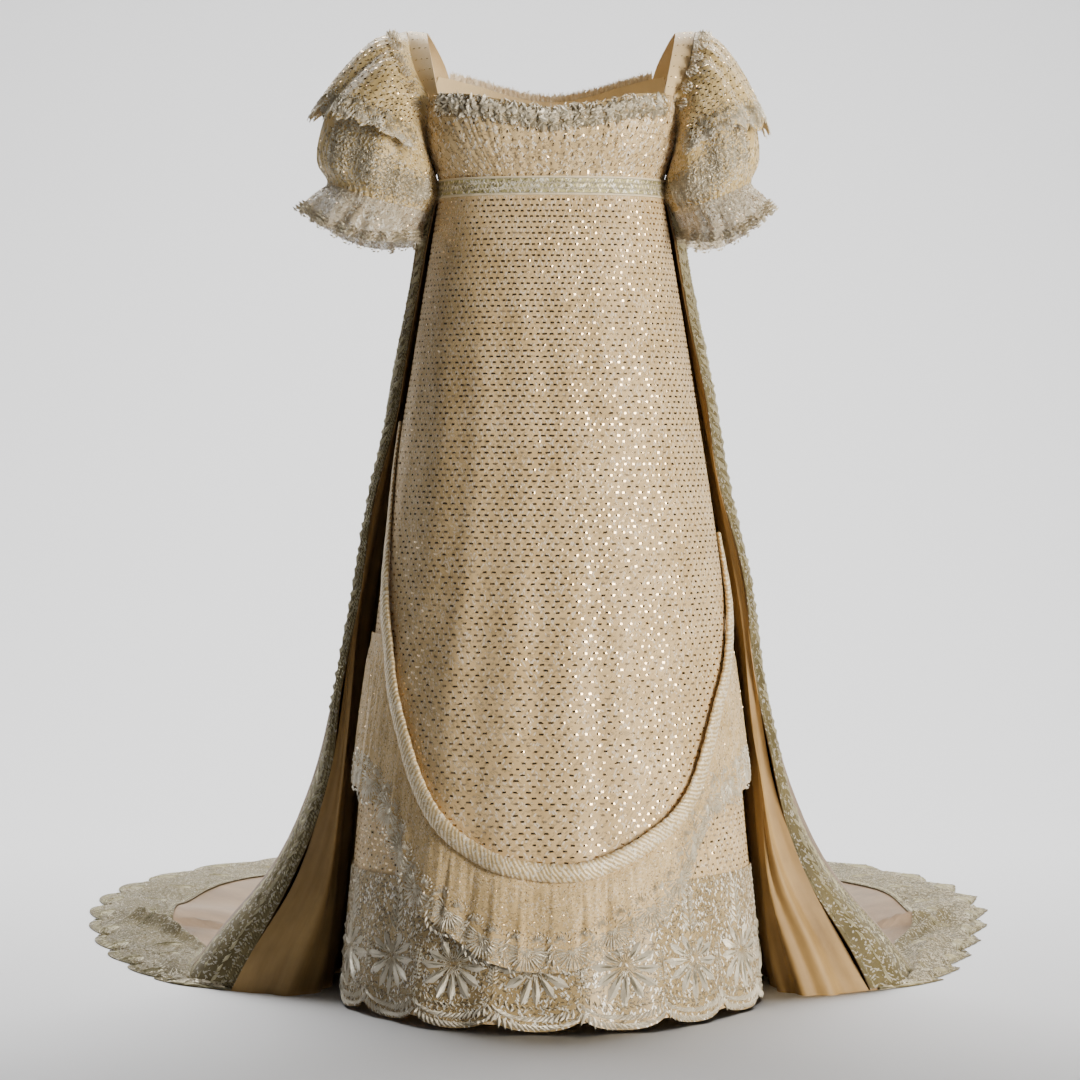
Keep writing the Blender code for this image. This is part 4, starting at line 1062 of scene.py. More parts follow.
# %% Gathers and the frill
# The frill's lower edge: angles, and heights above the floor
FRILL_EDGE = ((-104, -85, -64, -58, -52, -46, -40, -32, -20, -5, 8, 20, 30, 37, 43, 49, 62, 85, 104),
              (.300, .295, .280, .266, .232, .184, .152, .136, .100, .079, .086, .116, .140, .164, .206,
               .248, .276, .298, .302))
FRILL_TOP_MOST, FRILL_END = 0.498, 97.5
FRILL_LIFT, FRILL_NET, FRILL_ROWS = 0.0050, 0.0008, 22


def gathers(position, share, fine, coarse, seed):
    """Folds that are narrow near the seam (share 0) and join in wide ones further down (share 1).

    A sine of the position with a wandering phase makes the narrow folds, a slower one the wide folds, and
    each is weighted by a smooth step of the share.
    """
    wander = 0.9 * np.sin(position * 0.31 + seed) + 0.6 * np.sin(position * 0.83 + 2 * seed + share)
    narrow = np.sin(position * 2 * math.pi / fine + 2.2 * wander)
    wide = np.sin(position * 2 * math.pi / coarse + 1.6 * wander + 0.5 * share)
    sharpness = 0.25 * np.sin(position * 4 * math.pi / fine + wander)
    return (narrow + sharpness) * (1 - 0.75 * ease(0.1, 0.8, share)), wide * ease(0.1, 0.7, share)


def frill_top_at(angle):
    """The frill's upper edge: just under the roll's line, but no higher than its ends."""
    return np.minimum(curve(*ROLL_LINE, angle) - 0.004, FRILL_TOP_MOST)


def frill_out(angle, height):
    """Out from the hem border: more towards the lower edge, plus both sets of gathers."""
    top = frill_top_at(angle)
    share = (top - height) / (top - curve(*FRILL_EDGE, angle))
    narrow, wide = gathers(angle, share, 2.9, 9.3, 3)
    under = ease(0.04, 0.2, share)
    folds = 0.0006 * (narrow + 1) + 0.0015 * (wide + 1)
    return OVER_BORDER + 0.0006 + (FRILL_LIFT * share**1.2 + folds) * under


frill_angles = angles_between(-FRILL_END, FRILL_END, 0.5)
frill_top = frill_top_at(frill_angles)
frill = Round(frill_angles, frill_top, curve(*FRILL_EDGE, frill_angles), FRILL_ROWS, frill_out)
obj = dressed(wall("frill_net", frill, FRILL_NET, gold_net), "spangled_net", "frill")


# %% Shells on its edge
def edge_steps(cloth, row, pitch):
    """Columns evenly spaced along one row of a cloth, a pitch apart in metres."""
    line = cloth.points[row]
    length = length_along(line)
    count = max(2, int(round(length[-1] / pitch)))
    return np.interp((np.arange(count) + 0.5) * length[-1] / count, length, np.arange(len(line)))


def hang(cloth, pitch, spray, height, lift, size=1.0, drop=0.0, flip=False):
    """Sprays side by side along the last row, a drop above it. They point up, or down if flipped."""
    last = len(cloth.points) - 1
    column = edge_steps(cloth, last, pitch)
    down = cloth.read(np.full(len(column), float(last)), column)[3]
    rows = last - drop / np.linalg.norm(down, axis=-1)
    turn = (math.pi if flip else 0) + rng.uniform(-0.12, 0.12, len(column))
    anchors = np.column_stack([rows, column, turn, size * rng.uniform(0.92, 1.08, len(column))])
    return embroider(cloth, anchors, spray, height, lift)


shells = [hang(frill, 0.062, BIG_SHELL, 0.0018, FRILL_NET, drop=0.026, flip=True),
          hang(frill, 0.031, SHELL, 0.0016, FRILL_NET, 0.55, 0.038)]
n = 2600
angle = rng.uniform(-FRILL_END + 1, FRILL_END - 1, n)
share = rng.uniform(0.05, 0.97, n)
top, bottom = np.interp(angle, frill_angles, frill_top), curve(*FRILL_EDGE, angle)
sparks = glitter(frill, *frill.place(angle, top + (bottom - top) * share), 0.0030, 0.0011, lift=FRILL_NET)
EDGE_LAYERS, EDGE_ROWS = 12, 5.0  # bits of metal one above the other, over this many rows
column = edge_steps(frill, FRILL_ROWS - 1, 0.0021)
near = FRILL_ROWS - 1 - EDGE_ROWS * rng.uniform(0, 1, (EDGE_LAYERS, len(column))) ** 0.8
near, column = near.ravel(), np.tile(column, EDGE_LAYERS)
edge = [glitter(frill, near[part], column[part], 0.0048, 0.0015, lift=FRILL_NET)
        for part in (slice(0, None, 2), slice(1, None, 2))]
sewn("frill_embroidery", shells + [sparks, *edge], [silver, metal_strip, dull_silver], "spangled_net",
     which=[0, 0, 1, 2, 0])

# %% [markdown]
# ## The bodice
# The front is silk with net gathered over it: fine folds fan from the arm sides down to the middle of the
# waist, and the centre stays flat. Two plain halves lined with silk close the back. All three are the
# round surface again, with tables of their top edges. Small strips in rows lean with the folds.

# %% Bodice
# Top edges of the front and of the back: angles, and heights above the floor
FRONT_TOP = ((-90, -82.5, -75, -67.5, -45, -22.5, 0, 22.5, 45, 67.5, 75, 82.5, 90),
             (1.118, 1.140, 1.173, 1.2135, 1.209, 1.198, 1.189, 1.196, 1.209, 1.2135, 1.173, 1.140, 1.118))
BACK_TOP = ((90, 97.5, 105, 112.5, 120, 135, 150, 165, 180),
            (1.118, 1.146, 1.192, 1.2525, 1.2510, 1.242, 1.231, 1.224, 1.222))


def straight(table, at):
    """Straight pieces through a table's values."""
    return np.interp(at, *table)


def bodice_out(angle, height):
    """Net folds: waves across lines that slope towards the middle of the waist, none at the centre."""
    side = ease(22, 34, np.abs(angle)) * (1 - ease(80, 90, np.abs(angle)))
    share = np.clip((straight(FRONT_TOP, angle) - height) / 0.1, 0, 1)
    lines = np.abs(angle) + 15 * share**1.5 * ease(20, 45, np.abs(angle))
    narrow, wide = gathers(lines, 0.25, 3.1, 9.5, 5)
    crease = 0.0011 * (narrow + 0.6) + 0.0014 * (wide + 0.7)
    middle = 0.0005 * (1 + np.sin(angle * 0.9)) * (1 - side)
    return 0.0002 + (side * crease + middle) * ease(0.0, 0.12, share) * (1 - 0.7 * ease(0.85, 1, share))


front_angles = angles_between(-89.9, 89.9, 0.75)
bodice = Round(front_angles, straight(FRONT_TOP, front_angles), WAIST + SEAM, 24, bodice_out)
obj = wall("bodice_front_net", bodice, SILK, bodice_net, lit_silk_lining)
dressed(obj, "silk_and_net", "bodice_front")
angle, height = dashes(-80, 80, 1.186, 1.106, 4.9, 0.0115)
shift = rng.uniform(-0.6, 0.6, (2, len(angle)))
height = height + 0.002 * shift[1] + 0.004 * (angle > 0)
keep = height < straight(FRONT_TOP, angle) - 0.026
place = bodice.place(angle[keep] + shift[0][keep], height[keep])
lean = np.radians(-np.sign(angle[keep]) * 24 * ease(30, 55, np.abs(angle[keep])))
parts = [strips(bodice, *place, 0.0058, 0.0019, math.pi / 2 + lean, SILK)]
n = 900
angle = rng.uniform(-86, 86, n)
height = WAIST + 0.014 + (straight(FRONT_TOP, angle) - WAIST - 0.016) * rng.random(n)
parts.append(glitter(bodice, *bodice.place(angle, height), 0.0028, 0.0009, lift=SILK))
sewn("bodice_strips", parts, [metal_strip], "silk_and_net", smooth=False)

# %% Bodice back
def back_out(angle, height):
    """Small upright puckers that die out upwards."""
    return 0.0002 + 0.0006 * (1 + np.sin(angle * 1.9 + 2 * np.sin(angle * 0.4))) * ease(1.22, 1.1, height)


for side, first, last in (("left", 90, 180), ("right", -180, -90)):
    angles = angles_between(first + 0.1, last - 0.1, 1.25)
    half = Round(angles, straight(BACK_TOP, np.abs(angles)), WAIST + SEAM, 20, back_out)
    obj = dressed(wall(f"bodice_back_{side}_silk", half, SILK, silk_net, lit_silk_lining), "silk_and_net",
                  f"bodice_back_{side}")

# %% [markdown]
# ## Straps
# A band of silk goes over each shoulder. Its two edges are smooth curves through a few points, and the
# surface runs straight from one to the other with a slight camber. The right strap is the left one
# mirrored, its columns turned round so that its faces still point outwards.

# %% Straps
# Inner point, then outer point, of five sections from the front to the back
STRAP = np.array([
    (.1570, -.0620, 1.2520, .1810, -.0490, 1.2490), (.1650, -.0290, 1.2900, .1900, -.0240, 1.2910),
    (.1675, .0050, 1.3040, .1930, .0050, 1.3060), (.1600, .0340, 1.2950, .1850, .0360, 1.2960),
    (.1460, .0620, 1.2700, .1680, .0560, 1.2710),
])


def strap_edges():
    """Inner and outer edge of the left strap, from the front's top edge over the shoulder to the back's."""
    foot = body(np.array([60, 67.5]), straight(FRONT_TOP, [60, 67.5]) + SEAM)
    heel = body(np.array([120, 112.5]), straight(BACK_TOP, [120, 112.5]) - 0.003, SILK + 0.0008)
    steps = STRAP - np.array([0, 0, SHOULDER] * 2)
    inner = np.vstack([foot[:1], steps[:, :3], heel[:1]])
    outer = np.vstack([foot[1:], steps[:, 3:], heel[1:]])
    return inner, outer


def smooth_line(points, count):
    """Evenly numbered points on smooth curves through the given ones."""
    numbers = np.arange(len(points))
    at = np.linspace(0, numbers[-1], count)
    return np.stack([curve(numbers, points[:, axis], at) for axis in range(3)], -1)


inner, outer = (smooth_line(edge, 60) for edge in strap_edges())
share = np.linspace(0, 1, 9)[:, None, None]
camber = 0.0007 * np.sin(math.pi * share) * np.array([0.3, 0, 1])
for side, mirror in (("left", (1, 1, 1)), ("right", (-1, 1, 1))):
    grid = (inner * (1 - share) + outer * share + camber) * np.array(mirror)
    strap = Cloth(grid if side == "left" else grid[:, ::-1])
    obj = dressed(wall(f"strap_{side}_silk", strap, SILK, strap_silk), "silk_and_net", f"strap_{side}")
    rows, columns = np.meshgrid([1.6, 4.0, 6.4], np.arange(3, 57, 3.6), indexing="ij")
    dash = strips(strap, rows.ravel(), columns.ravel(), 0.0032, 0.0009, 0.4, SILK)
    sewn(f"strap_{side}_stitches", [dash], [metal_strip], "silk_and_net", smooth=False)

# %% [markdown]
# ## Waistband
# A ribbon woven with metal covers the seam at the waist. Its zigzag is in the material; raised stitches
# on both edges and along the zigzag give it an edge that catches the light.

# %% Waistband
RIBBON_THICK = 0.0024


def ribbon_out(angle, height):
    """The overskirt's thickness, with a slow wave, as the ribbon doesn't lie quite flat."""
    return OVER_SKIRT + 0.0004 * np.sin(angle * 0.5) * np.cos(height * 90) ** 2


band_angles = angles_between(-179.95, 179.95, 1.5)
band = Round(band_angles, WAIST + BAND / 2, WAIST - BAND / 2, 5, ribbon_out)
obj = dressed(wall("waistband_ribbon", band, RIBBON_THICK, ribbon), "metal_ribbon", "waistband")
angle = np.arange(-100, 100, 0.9)
parts = []
for offset in (0.0100, -0.0100):
    place = band.place(angle, WAIST + offset)
    parts.append(strips(band, *place, 0.0042, 0.0011, 0.0, RIBBON_THICK))
zigzag = np.where(np.arange(len(angle)) % 2, 1, -1)
for offset in (-0.0036, 0.0036):
    place = band.place(angle, WAIST + offset)
    parts.append(strips(band, *place, 0.0056, 0.0012, zigzag * np.sign(offset) * 0.9, RIBBON_THICK))
sewn("waistband_stitches", parts, [dull_silver], "metal_ribbon", smooth=False)

# %% [markdown]
# ## Neck trim and lace
# Crinkled silver shells go along the front neckline in two rows, on a narrow gathered band of net: the
# upper row points up and the lower one down. Behind, the neck is edged with a narrow lace whose cut
# threads are thin tufts that lean in all directions, because a smooth rim would look like paper.

# %% Neck trim
TRIM_ABOVE, TRIM_BELOW, TRIM_NET = 0.003, 0.028, 0.0012  # past the bodice's edge, and the band's thickness
trim_angles = angles_between(-60, 60, 0.5)
trim_top = straight(FRONT_TOP, trim_angles)


def trim_out(angle, height):
    """Out from the bodice's own folds, with a puff every few degrees that is fullest halfway down."""
    share = (straight(FRONT_TOP, angle) + TRIM_ABOVE - height) / (TRIM_ABOVE + TRIM_BELOW)
    bodice_under = bodice_out(angle, np.minimum(height, straight(FRONT_TOP, angle)))
    puffs = 0.0016 * (1 + np.sin(angle * 2 * math.pi / 7.2 + 0.8 * np.sin(angle * 0.23)))
    return SILK + GAP + bodice_under + puffs * np.sin(math.pi * np.clip(share, 0, 1))


trim = Round(trim_angles, trim_top + TRIM_ABOVE, trim_top - TRIM_BELOW, 10, trim_out)
obj = dressed(wall("neck_trim_net", trim, TRIM_NET, border_net), "silver_embroidery", "neck_trim")
angle = np.arange(-57.5, 59, 5.6)
top = straight(FRONT_TOP, angle)
lower = anchors_at(trim.place(angle + 2.8, top - 0.0170), math.pi + rng.uniform(-0.4, 0.4, len(angle)), 0.9)
upper = anchors_at(trim.place(angle, top - 0.0100), rng.uniform(-0.4, 0.4, len(angle)), 1.0)
CRINKLED = np.vstack([fan(7, 118, 0.001, 0.0125, 0.0058), fan(4, 70, 0.001, 0.0070, 0.0040)])
parts = [embroider(trim, upper, CRINKLED, 0.0032, 0.0020, 0.5, motif=PETAL),
         embroider(trim, lower, CRINKLED, 0.0028, 0.0014, 0.5, motif=PETAL)]
n = 420
angle = rng.uniform(-59, 59, n)
height = straight(FRONT_TOP, angle) + rng.uniform(-0.027, 0.004, n)
parts.append(glitter(trim, *trim.place(angle, height), 0.0075, 0.0022, 0.0016, lift=0.0014))
sewn("neck_trim_leaves", parts, [silver, dull_silver], "silver_embroidery", which=[0, 1, 0])

# %% Neck lace
def lace_out(angle, height):
    """Just outside the bodice back, with small waves."""
    return SILK + GAP + 0.0004 + 0.0005 * np.sin(angle * 2)


for side, sign in (("left", 1), ("right", -1)):
    angles = angles_between(120, 179.9, 0.5)
    angles = angles if sign > 0 else -angles[::-1]
    top = straight(BACK_TOP, np.abs(angles))
    frayed = 0.0020 * np.sin(angles * 3.1) * np.sin(angles * 1.3)
    lace = Round(angles, top + 0.0085 + frayed, top - 0.004, 8, lace_out)
    obj = dressed(wall(f"neck_lace_{side}_net", lace, 0.0008, fray), "net_lace", f"neck_lace_{side}")
    n = 850
    angle = sign * rng.uniform(120.3, 179.6, n)
    height = straight(BACK_TOP, np.abs(angle)) + rng.uniform(-0.002, 0.007, n)
    size = np.column_stack([np.full(n, 0.0007), rng.uniform(0.004, 0.0105, n), np.full(n, 0.0006)])
    place = lace.place(angle, height)
    turns = grain(lace, *place) + rng.normal(0, 0.45, n)
    tufts = lay(lace, LEAF, *place, size, turns, lift=0.0006, tilt=rng.normal(0, 0.4, (2, n)))
    sewn(f"neck_lace_{side}_tufts", [tufts], [fray], "net_lace")

# %% [markdown]
# ## The sleeves
# A sleeve's sections are ovals given by their outermost and innermost points, from the armhole over the
# puff to its band and out along the net frill. The first rows blend to the shape of the armhole, so the
# seam closes. The left sleeve is the right one mirrored, but it stands out less.

# %% Sleeve surface
# The right sleeve's sections: a column for each, heights above the floor. droop lowers front and back
SLEEVE = dict(
    outer_x=(.2000, .2330, .2740, .3000, .3100, .2990, .3170, .3330),
    outer_z=(1.3030, 1.2890, 1.2420, 1.1880, 1.1330, 1.1030, 1.0850, 1.0660),
    inner_x=(.1640, .1555, .1545, .1550, .1565, .1660, .1785, .1810),
    inner_z=(1.1160, 1.1080, 1.0980, 1.0900, 1.0820, 1.0640, 1.0430, 1.0280),
    half_depth=(.066, .080, .088, .090, .088, .081, .092, .101),
    droop=(0, 0, 0, 0, .004, .007, .014, .024),
)
SLEEVE_SPREAD = {"right": 1.0, "left": 0.74}
SPREAD_FROM = 0.176  # the x from which a sleeve is spread
ARMHOLE_TURNS = (0, 28, 52, 75, 102, 140, 180, 220, 258, 290, 315, 338, 360)


def armhole(out):
    """The right armhole from the top of the shoulder round by the front, out from the bodice and strap."""
    front, back = np.array([67.5, 75, 82.5, 90]), np.array([97.5, 105, 112.5])
    front = body(front, straight(FRONT_TOP, front) - 0.002, out)
    back = body(back, straight(BACK_TOP, back) - 0.002, out)
    over = STRAP[:, 3:] - np.array([0, 0, SHOULDER]) + np.array([0.8, 0, 0.6]) * out
    return np.vstack([over[2::-1], front, back, over[:1:-1]]) * np.array([-1, 1, 1])


HOLE = armhole(SILK + GAP)


def sleeve_point(along, turn, spread, out):
    """Middle of the section + half its size x cosine, and half its depth x sine, of the turn."""
    along, turn = np.broadcast_arrays(np.asarray(along, float), np.asarray(turn, float) % 360)
    column = {key: curve(range(8), values, along) for key, values in SLEEVE.items()}
    outer_x = SPREAD_FROM + (column["outer_x"] - SPREAD_FROM) * spread
    half_x, half_z = (outer_x - column["inner_x"]) / 2, (column["outer_z"] - column["inner_z"]) / 2
    grow = (1 + out / np.hypot(half_x, half_z)) * np.cos(np.radians(turn))
    depth = (column["half_depth"] + out) * np.sin(np.radians(turn))
    z = (column["outer_z"] + column["inner_z"]) / 2 + half_z * grow
    z = z - column["droop"] * np.sin(np.radians(turn)) ** 2 - SHOULDER
    free = np.stack([-(outer_x + column["inner_x"]) / 2 - half_x * grow, -depth, z], axis=-1)
    hole = np.stack([np.interp(turn, ARMHOLE_TURNS, HOLE[:, axis]) for axis in range(3)], axis=-1)
    blend = np.clip(1 - along, 0, 1)[..., None] ** 1.3
    return free * (1 - blend) + hole * blend


class Tube(Cloth):
    """A sleeve's surface. Rows follow along, columns go round it, to the right as seen from outside.

    It goes all the way round, or, given a half angle, that far to each side of the sleeve's top.
    """

    def __init__(self, side, rows, count, out, half=None):
        self.side, self.rows, self.half = side, rows, half
        spread = np.linspace(0, 1, count, endpoint=half is not None)
        turns = 2 * half * spread - half if half else 360 * spread
        turns = turns if side == "right" else -turns
        along, turn = np.broadcast_arrays(rows, turns)
        seed = 0 if side == "right" else 4
        points = sleeve_point(along, turn, SLEEVE_SPREAD[side], out(along, turn, seed))
        points = points * np.array([1 if side == "right" else -1, 1, 1])
        super().__init__(points, closed=half is None)

    def place(self, along, turn):
        """Row and column at a distance along and a turn from the top, forwards being positive."""
        count = self.points.shape[1]
        turn = turn if self.side == "right" else -turn
        if self.half:
            return along, (self.half + turn) / (2 * self.half) * (count - 1)
        return np.interp(along, self.rows[:, 0], np.arange(len(self.rows))), turn % 360 / 360 * count

# %% [markdown]
# ## The puff
# Gathers are narrow at both seams and wide in between. A band of wreaths in silver thread goes round the
# puff below its middle, with loose bits of metal thick over it and thin everywhere else.

# %% Puff
PUFF_NET = 0.0012
PUFF_BITS, BAND_BITS = 1500, 2600
# A wreath of strokes round a small flower
WREATH = np.vstack([fan(9, 172, 0.002, 0.0105, 0.0030), rim_of(0.0115, 12, 0.0075, 0.0026, 20, 175)])


def puff_out(along, turn, seed):
    """Gathers at the armhole and at the band, soft swells between them."""
    turn, away = np.radians(turn), ease(0, 1.6, along) * ease(5, 3.6, along)
    narrow = np.sin(turn * 46 + 2 * np.sin(turn * 5 + seed))
    wide = np.sin(turn * 13 + 1.5 * np.sin(turn * 3 + seed) + along * 0.5)
    slow = np.sin(turn * 7 + 2 * seed - along * 0.8)
    start = ease(0.05, 0.4, along)
    swells = 0.0022 * away * (wide + 1) + 0.002 * away * (slow + 1)
    return start * ((0.0011 - 0.0007 * away) * (narrow + 1) + swells)


def sew_puff(side):
    """A sleeve's puff with its embroidery, which is denser in front."""
    puff = Tube(side, np.linspace(0, 5, 36)[:, None], 180, puff_out)
    obj = dressed(wall(f"sleeve_puff_{side}_net", puff, PUFF_NET, sleeve_net, lit_silk_lining), "silk_and_net",
                  f"sleeve_puff_{side}")
    along, turn = rng.uniform(0.4, 4.9, PUFF_BITS), rng.uniform(0, 360, PUFF_BITS)
    loose = glitter(puff, *puff.place(along, turn), 0.0042, 0.0013, lift=PUFF_NET)

    turn = np.tile(np.arange(8, 352, 9.5), 3)
    line = np.repeat([2.75, 3.25, 3.75], len(turn) // 3)
    from_inside, from_top = np.abs(180 - turn), np.where(turn > 180, 360 - turn, turn)
    keep = (from_inside > 30) & (from_inside < 143)
    line = line + 0.22 * np.sin(np.radians(turn * 4)) + 0.45 * ease(40, 120, from_top)
    place = puff.place(line[keep], turn[keep])
    wreaths = anchors_at(place, rng.uniform(0, 6, keep.sum()), 0.92)
    wreaths = embroider(puff, wreaths, WREATH, 0.0020, PUFF_NET, 0.3)

    turn = rng.uniform(38, 150, BAND_BITS) * rng.choice([-1, 1], BAND_BITS)
    along = 3.4 + rng.normal(0, 0.55, BAND_BITS) + 0.5 * ease(30, 120, np.abs(turn))
    place = puff.place(np.clip(along, 1.6, 4.95), turn)
    dense = glitter(puff, *place, 0.0058, 0.0019, 0.0011, lift=PUFF_NET)
    sewn(f"sleeve_puff_{side}_embroidery", [loose, wreaths, dense], [silver, dull_silver, metal_strip],
         "silk_and_net", which=[2, 1, 0])

# %% [markdown]
# ## The oversleeve
# A net cap stands out over the sleeve's head. It is the same sleeve surface, but only part of the way
# round, and each of its lines is cut to its own length, which gives the wavy free edge. It has strips in
# rows like bricks, rosettes along the seam and two rows of shells at the edge.

# %% Oversleeve
CAP_HALF_ANGLE, CAP_CORNER, CAP_RISE = 112, 0.52, 0.017  # CORNER: a corner's length over the middle's
CAP_START, CAP_REACH = 0.45, {"right": 3.12, "left": 3.45}  # how far along the sleeve it begins and comes
CAP_ROWS, CAP_COLUMNS = 20, 130
CAP_BITS, CAP_EDGE_BITS = 330, 1100


def cap_out(along, turn, seed, share):
    """Rises from the seam to stand out at its free edge, with soft waves there."""
    base = np.maximum(puff_out(along, turn, seed), 0.0)
    turn = np.radians(turn)
    wave = np.sin(turn * 9 + seed) + 0.6 * np.sin(turn * 17 + 2 * seed)
    return base + 0.0022 + CAP_RISE * share**2 + 0.0020 * share * wave


def sew_cap(side):
    """A sleeve's net cap with its strips, rosettes, shells and edge."""
    share = np.linspace(0, 1, CAP_ROWS)[:, None]
    half_turn = np.linspace(-CAP_HALF_ANGLE, CAP_HALF_ANGLE, CAP_COLUMNS)
    wavy = 1 + 0.035 * np.cos(np.radians(half_turn * 20)) * share**2
    length = (1 - (1 - CAP_CORNER) * (half_turn / CAP_HALF_ANGLE) ** 2) * wavy
    rows = CAP_START + (CAP_REACH[side] - CAP_START) * share * length
    cap = Tube(side, rows, CAP_COLUMNS, lambda a, t, s: cap_out(a, t, s, share), CAP_HALF_ANGLE)
    obj = dressed(wall(f"sleeve_cap_{side}_net", cap, NET, sleeve_net), "spangled_net", f"sleeve_cap_{side}")

    row, reach = rng.uniform(1, 14, CAP_BITS), CAP_HALF_ANGLE - 5
    turn = rng.uniform(-reach, reach, CAP_BITS)
    grid_row, grid_turn = np.meshgrid(np.arange(1.2, 14.5, 1.45), np.arange(-100, 101, 5.2), indexing="ij")
    grid_turn = grid_turn + 2.6 * (np.arange(len(grid_turn)) % 2)[:, None]
    brick = strips(cap, *cap.place(grid_row.ravel(), grid_turn.ravel()), 0.0046, 0.0016, 0.35, NET)
    sparks = glitter(cap, *cap.place(row, turn), 0.0036, 0.0012, lift=NET)
    lower = hang(cap, 0.026, SHELL, 0.0020, NET, 0.72, 0.003)
    upper = hang(cap, 0.024, SHELL, 0.0016, NET, 0.66, 0.019)
    reach = CAP_HALF_ANGLE - 1
    turn = rng.uniform(-reach, reach, CAP_EDGE_BITS)
    place = cap.place(CAP_ROWS - 1 - np.abs(rng.normal(0, 2.5, CAP_EDGE_BITS)), turn)
    edge = glitter(cap, *place, 0.0062, 0.0019, 0.0011, lift=NET)
    turn = np.concatenate([np.arange(-95, -20, 13), np.arange(10, 100, 13)])
    rosettes = anchors_at(cap.place(1.2 + 0 * turn, turn), rng.uniform(0, 6, len(turn)), 0.56)
    rosettes = embroider(cap, rosettes, WREATH, 0.0050, 0.0022, 0.3)
    sewn(f"sleeve_cap_{side}_embroidery", [brick, sparks, lower, upper, edge, rosettes],
         [silver, dull_silver, metal_strip], "spangled_net", which=[2, 2, 0, 1, 0, 0])

# %% [markdown]
# ## The cuff frill
# Below the band hangs a frill of open net. It has dots, bits of metal thick under the band, and wreaths
# of dark metal thread round its edge. The loop at the end sews both sleeves.

# %% Cuff frill and both sleeves
CUFF_NET, CUFF_ROWS, CUFF_COLUMNS = 0.0006, 14, 200
CUFF_DOTS, CUFF_BITS = 420, 700


def cuff_out(along, turn, seed):
    """Narrow gathers at the band that turn to wide folds at the edge."""
    turn, share = np.radians(turn), np.clip((along - 5) / 2, 0, 1)
    wide = np.sin(turn * 15 + 1.2 * np.sin(turn * 4 + seed))
    narrow = np.sin(turn * 40 + 2 * np.sin(turn * 6 + seed))
    return 0.0004 + 0.0045 * share * (wide + 1) + 0.0008 * (1 - share) * (narrow + 1)


def sew_cuff(side):
    """A sleeve's net frill with its edge."""
    cuff = Tube(side, np.linspace(5.03, 7, CUFF_ROWS)[:, None], CUFF_COLUMNS, cuff_out)
    obj = dressed(wall(f"sleeve_frill_{side}_net", cuff, CUFF_NET, clear_net), "spangled_net",
                  f"sleeve_frill_{side}")
    wreaths = hang(cuff, 0.0250, WREATH, 0.0055, CUFF_NET, 0.66, 0.0045)
    last = CUFF_ROWS - 1
    column = edge_steps(cuff, last, 0.0030)
    near = last - rng.uniform(0, 1.0, len(column))
    rim = glitter(cuff, near, column, 0.0034, 0.0014, 0.001, lift=CUFF_NET)
    row, column = rng.uniform(1, 12, CUFF_DOTS), rng.uniform(0, CUFF_COLUMNS, CUFF_DOTS)
    dots = glitter(cuff, row, column, 0.0030, 0.0013, lift=CUFF_NET)
    turn = rng.uniform(-120, 120, CUFF_BITS)
    place = cuff.place(5.05 + np.abs(rng.normal(0, 0.45, CUFF_BITS)), turn)
    dense = glitter(cuff, *place, 0.005, 0.0016, 0.001, lift=CUFF_NET)
    sewn(f"sleeve_frill_{side}_embroidery", [wreaths, rim, dots, dense],
         [dull_silver, dark_silver, metal_strip, silver], "spangled_net", which=[0, 0, 2, 3])


for side in ("right", "left"):
    sew_puff(side)
    sew_cap(side)
    sew_cuff(side)

# %% [markdown]
# ## The train
# The train hangs from the back of the waist, leans on the skirt, swings out and lies on the floor in a
# half oval. A table of ribs says where each line of the cloth leaves the waist, touches the floor and
# ends; another says how far out it is at each share of its drop. Soft upright folds fade towards the
# front edges, and low creases cross the part on the floor.

# %% Train surface
# share is the way round from a front edge (0) to the centre back (1). The touch lines of lining and panel
# and the hem are x and y on the floor
RIBS = dict(
    share=(0, .07, .16, .26, .36, .46, .56, .66, .76, .86, .93, 1.0, 1.07),
    waist_angle=(86, 94, 102, 110, 118, 126, 135, 144, 153, 162, 170, 180, 190),
    lining_x=(.438, .400, .352, .312, .310, .304, .280, .236, .178, .113, .058, 0, -.058),
    lining_y=(.045, .022, .006, .045, .130, .215, .295, .360, .405, .435, .447, .452, .447),
    panel_x=(.438, .485, .506, .502, .478, .438, .376, .303, .222, .137, .067, 0, -.067),
    panel_y=(.045, .080, .180, .290, .390, .480, .555, .615, .662, .698, .716, .722, .716),
    hem_x=(.466, .520, .566, .613, .656, .682, .677, .636, .548, .395, .215, 0, -.215),
    hem_y=(.058, .115, .240, .405, .600, .800, .985, 1.150, 1.315, 1.450, 1.525, 1.550, 1.525),
)
# How far out, from waist to touch line, at each share of the drop
DRAPE = ((0, .11, .25, .45, .60, .75, .86, .95, 1.0), (0, .068, .178, .325, .425, .545, .70, .90, 1.0))
HEM_LEAN, TRAIN_OUT, PANEL_LIFT, PANEL_BULGE, LEAST_GAP = 0.016, 0.0052, 0.0024, 0.022, 0.0002
OFF_SKIRT_TOP, OFF_SKIRT_LOW = 0.0075, 0.030
FOLD_COUNT = {"panel": (7, 0.022), "lining": (11, 0.010)}
train_top = WAIST - BAND / 2 - SEAM


def rib_line(name, across):
    """A line of the ribs table on the floor; across is 1 at the left front edge and -1 at the right."""
    share, side = 1 - np.abs(across), np.where(across < 0, -1.0, 1.0)
    x = curve(RIBS["share"], RIBS[name + "_x"], share) * side
    y = curve(RIBS["share"], RIBS[name + "_y"], share)
    return np.stack([x - HEM_LEAN * ease(0, 0.3, share) * (name == "hem"), y], axis=-1)


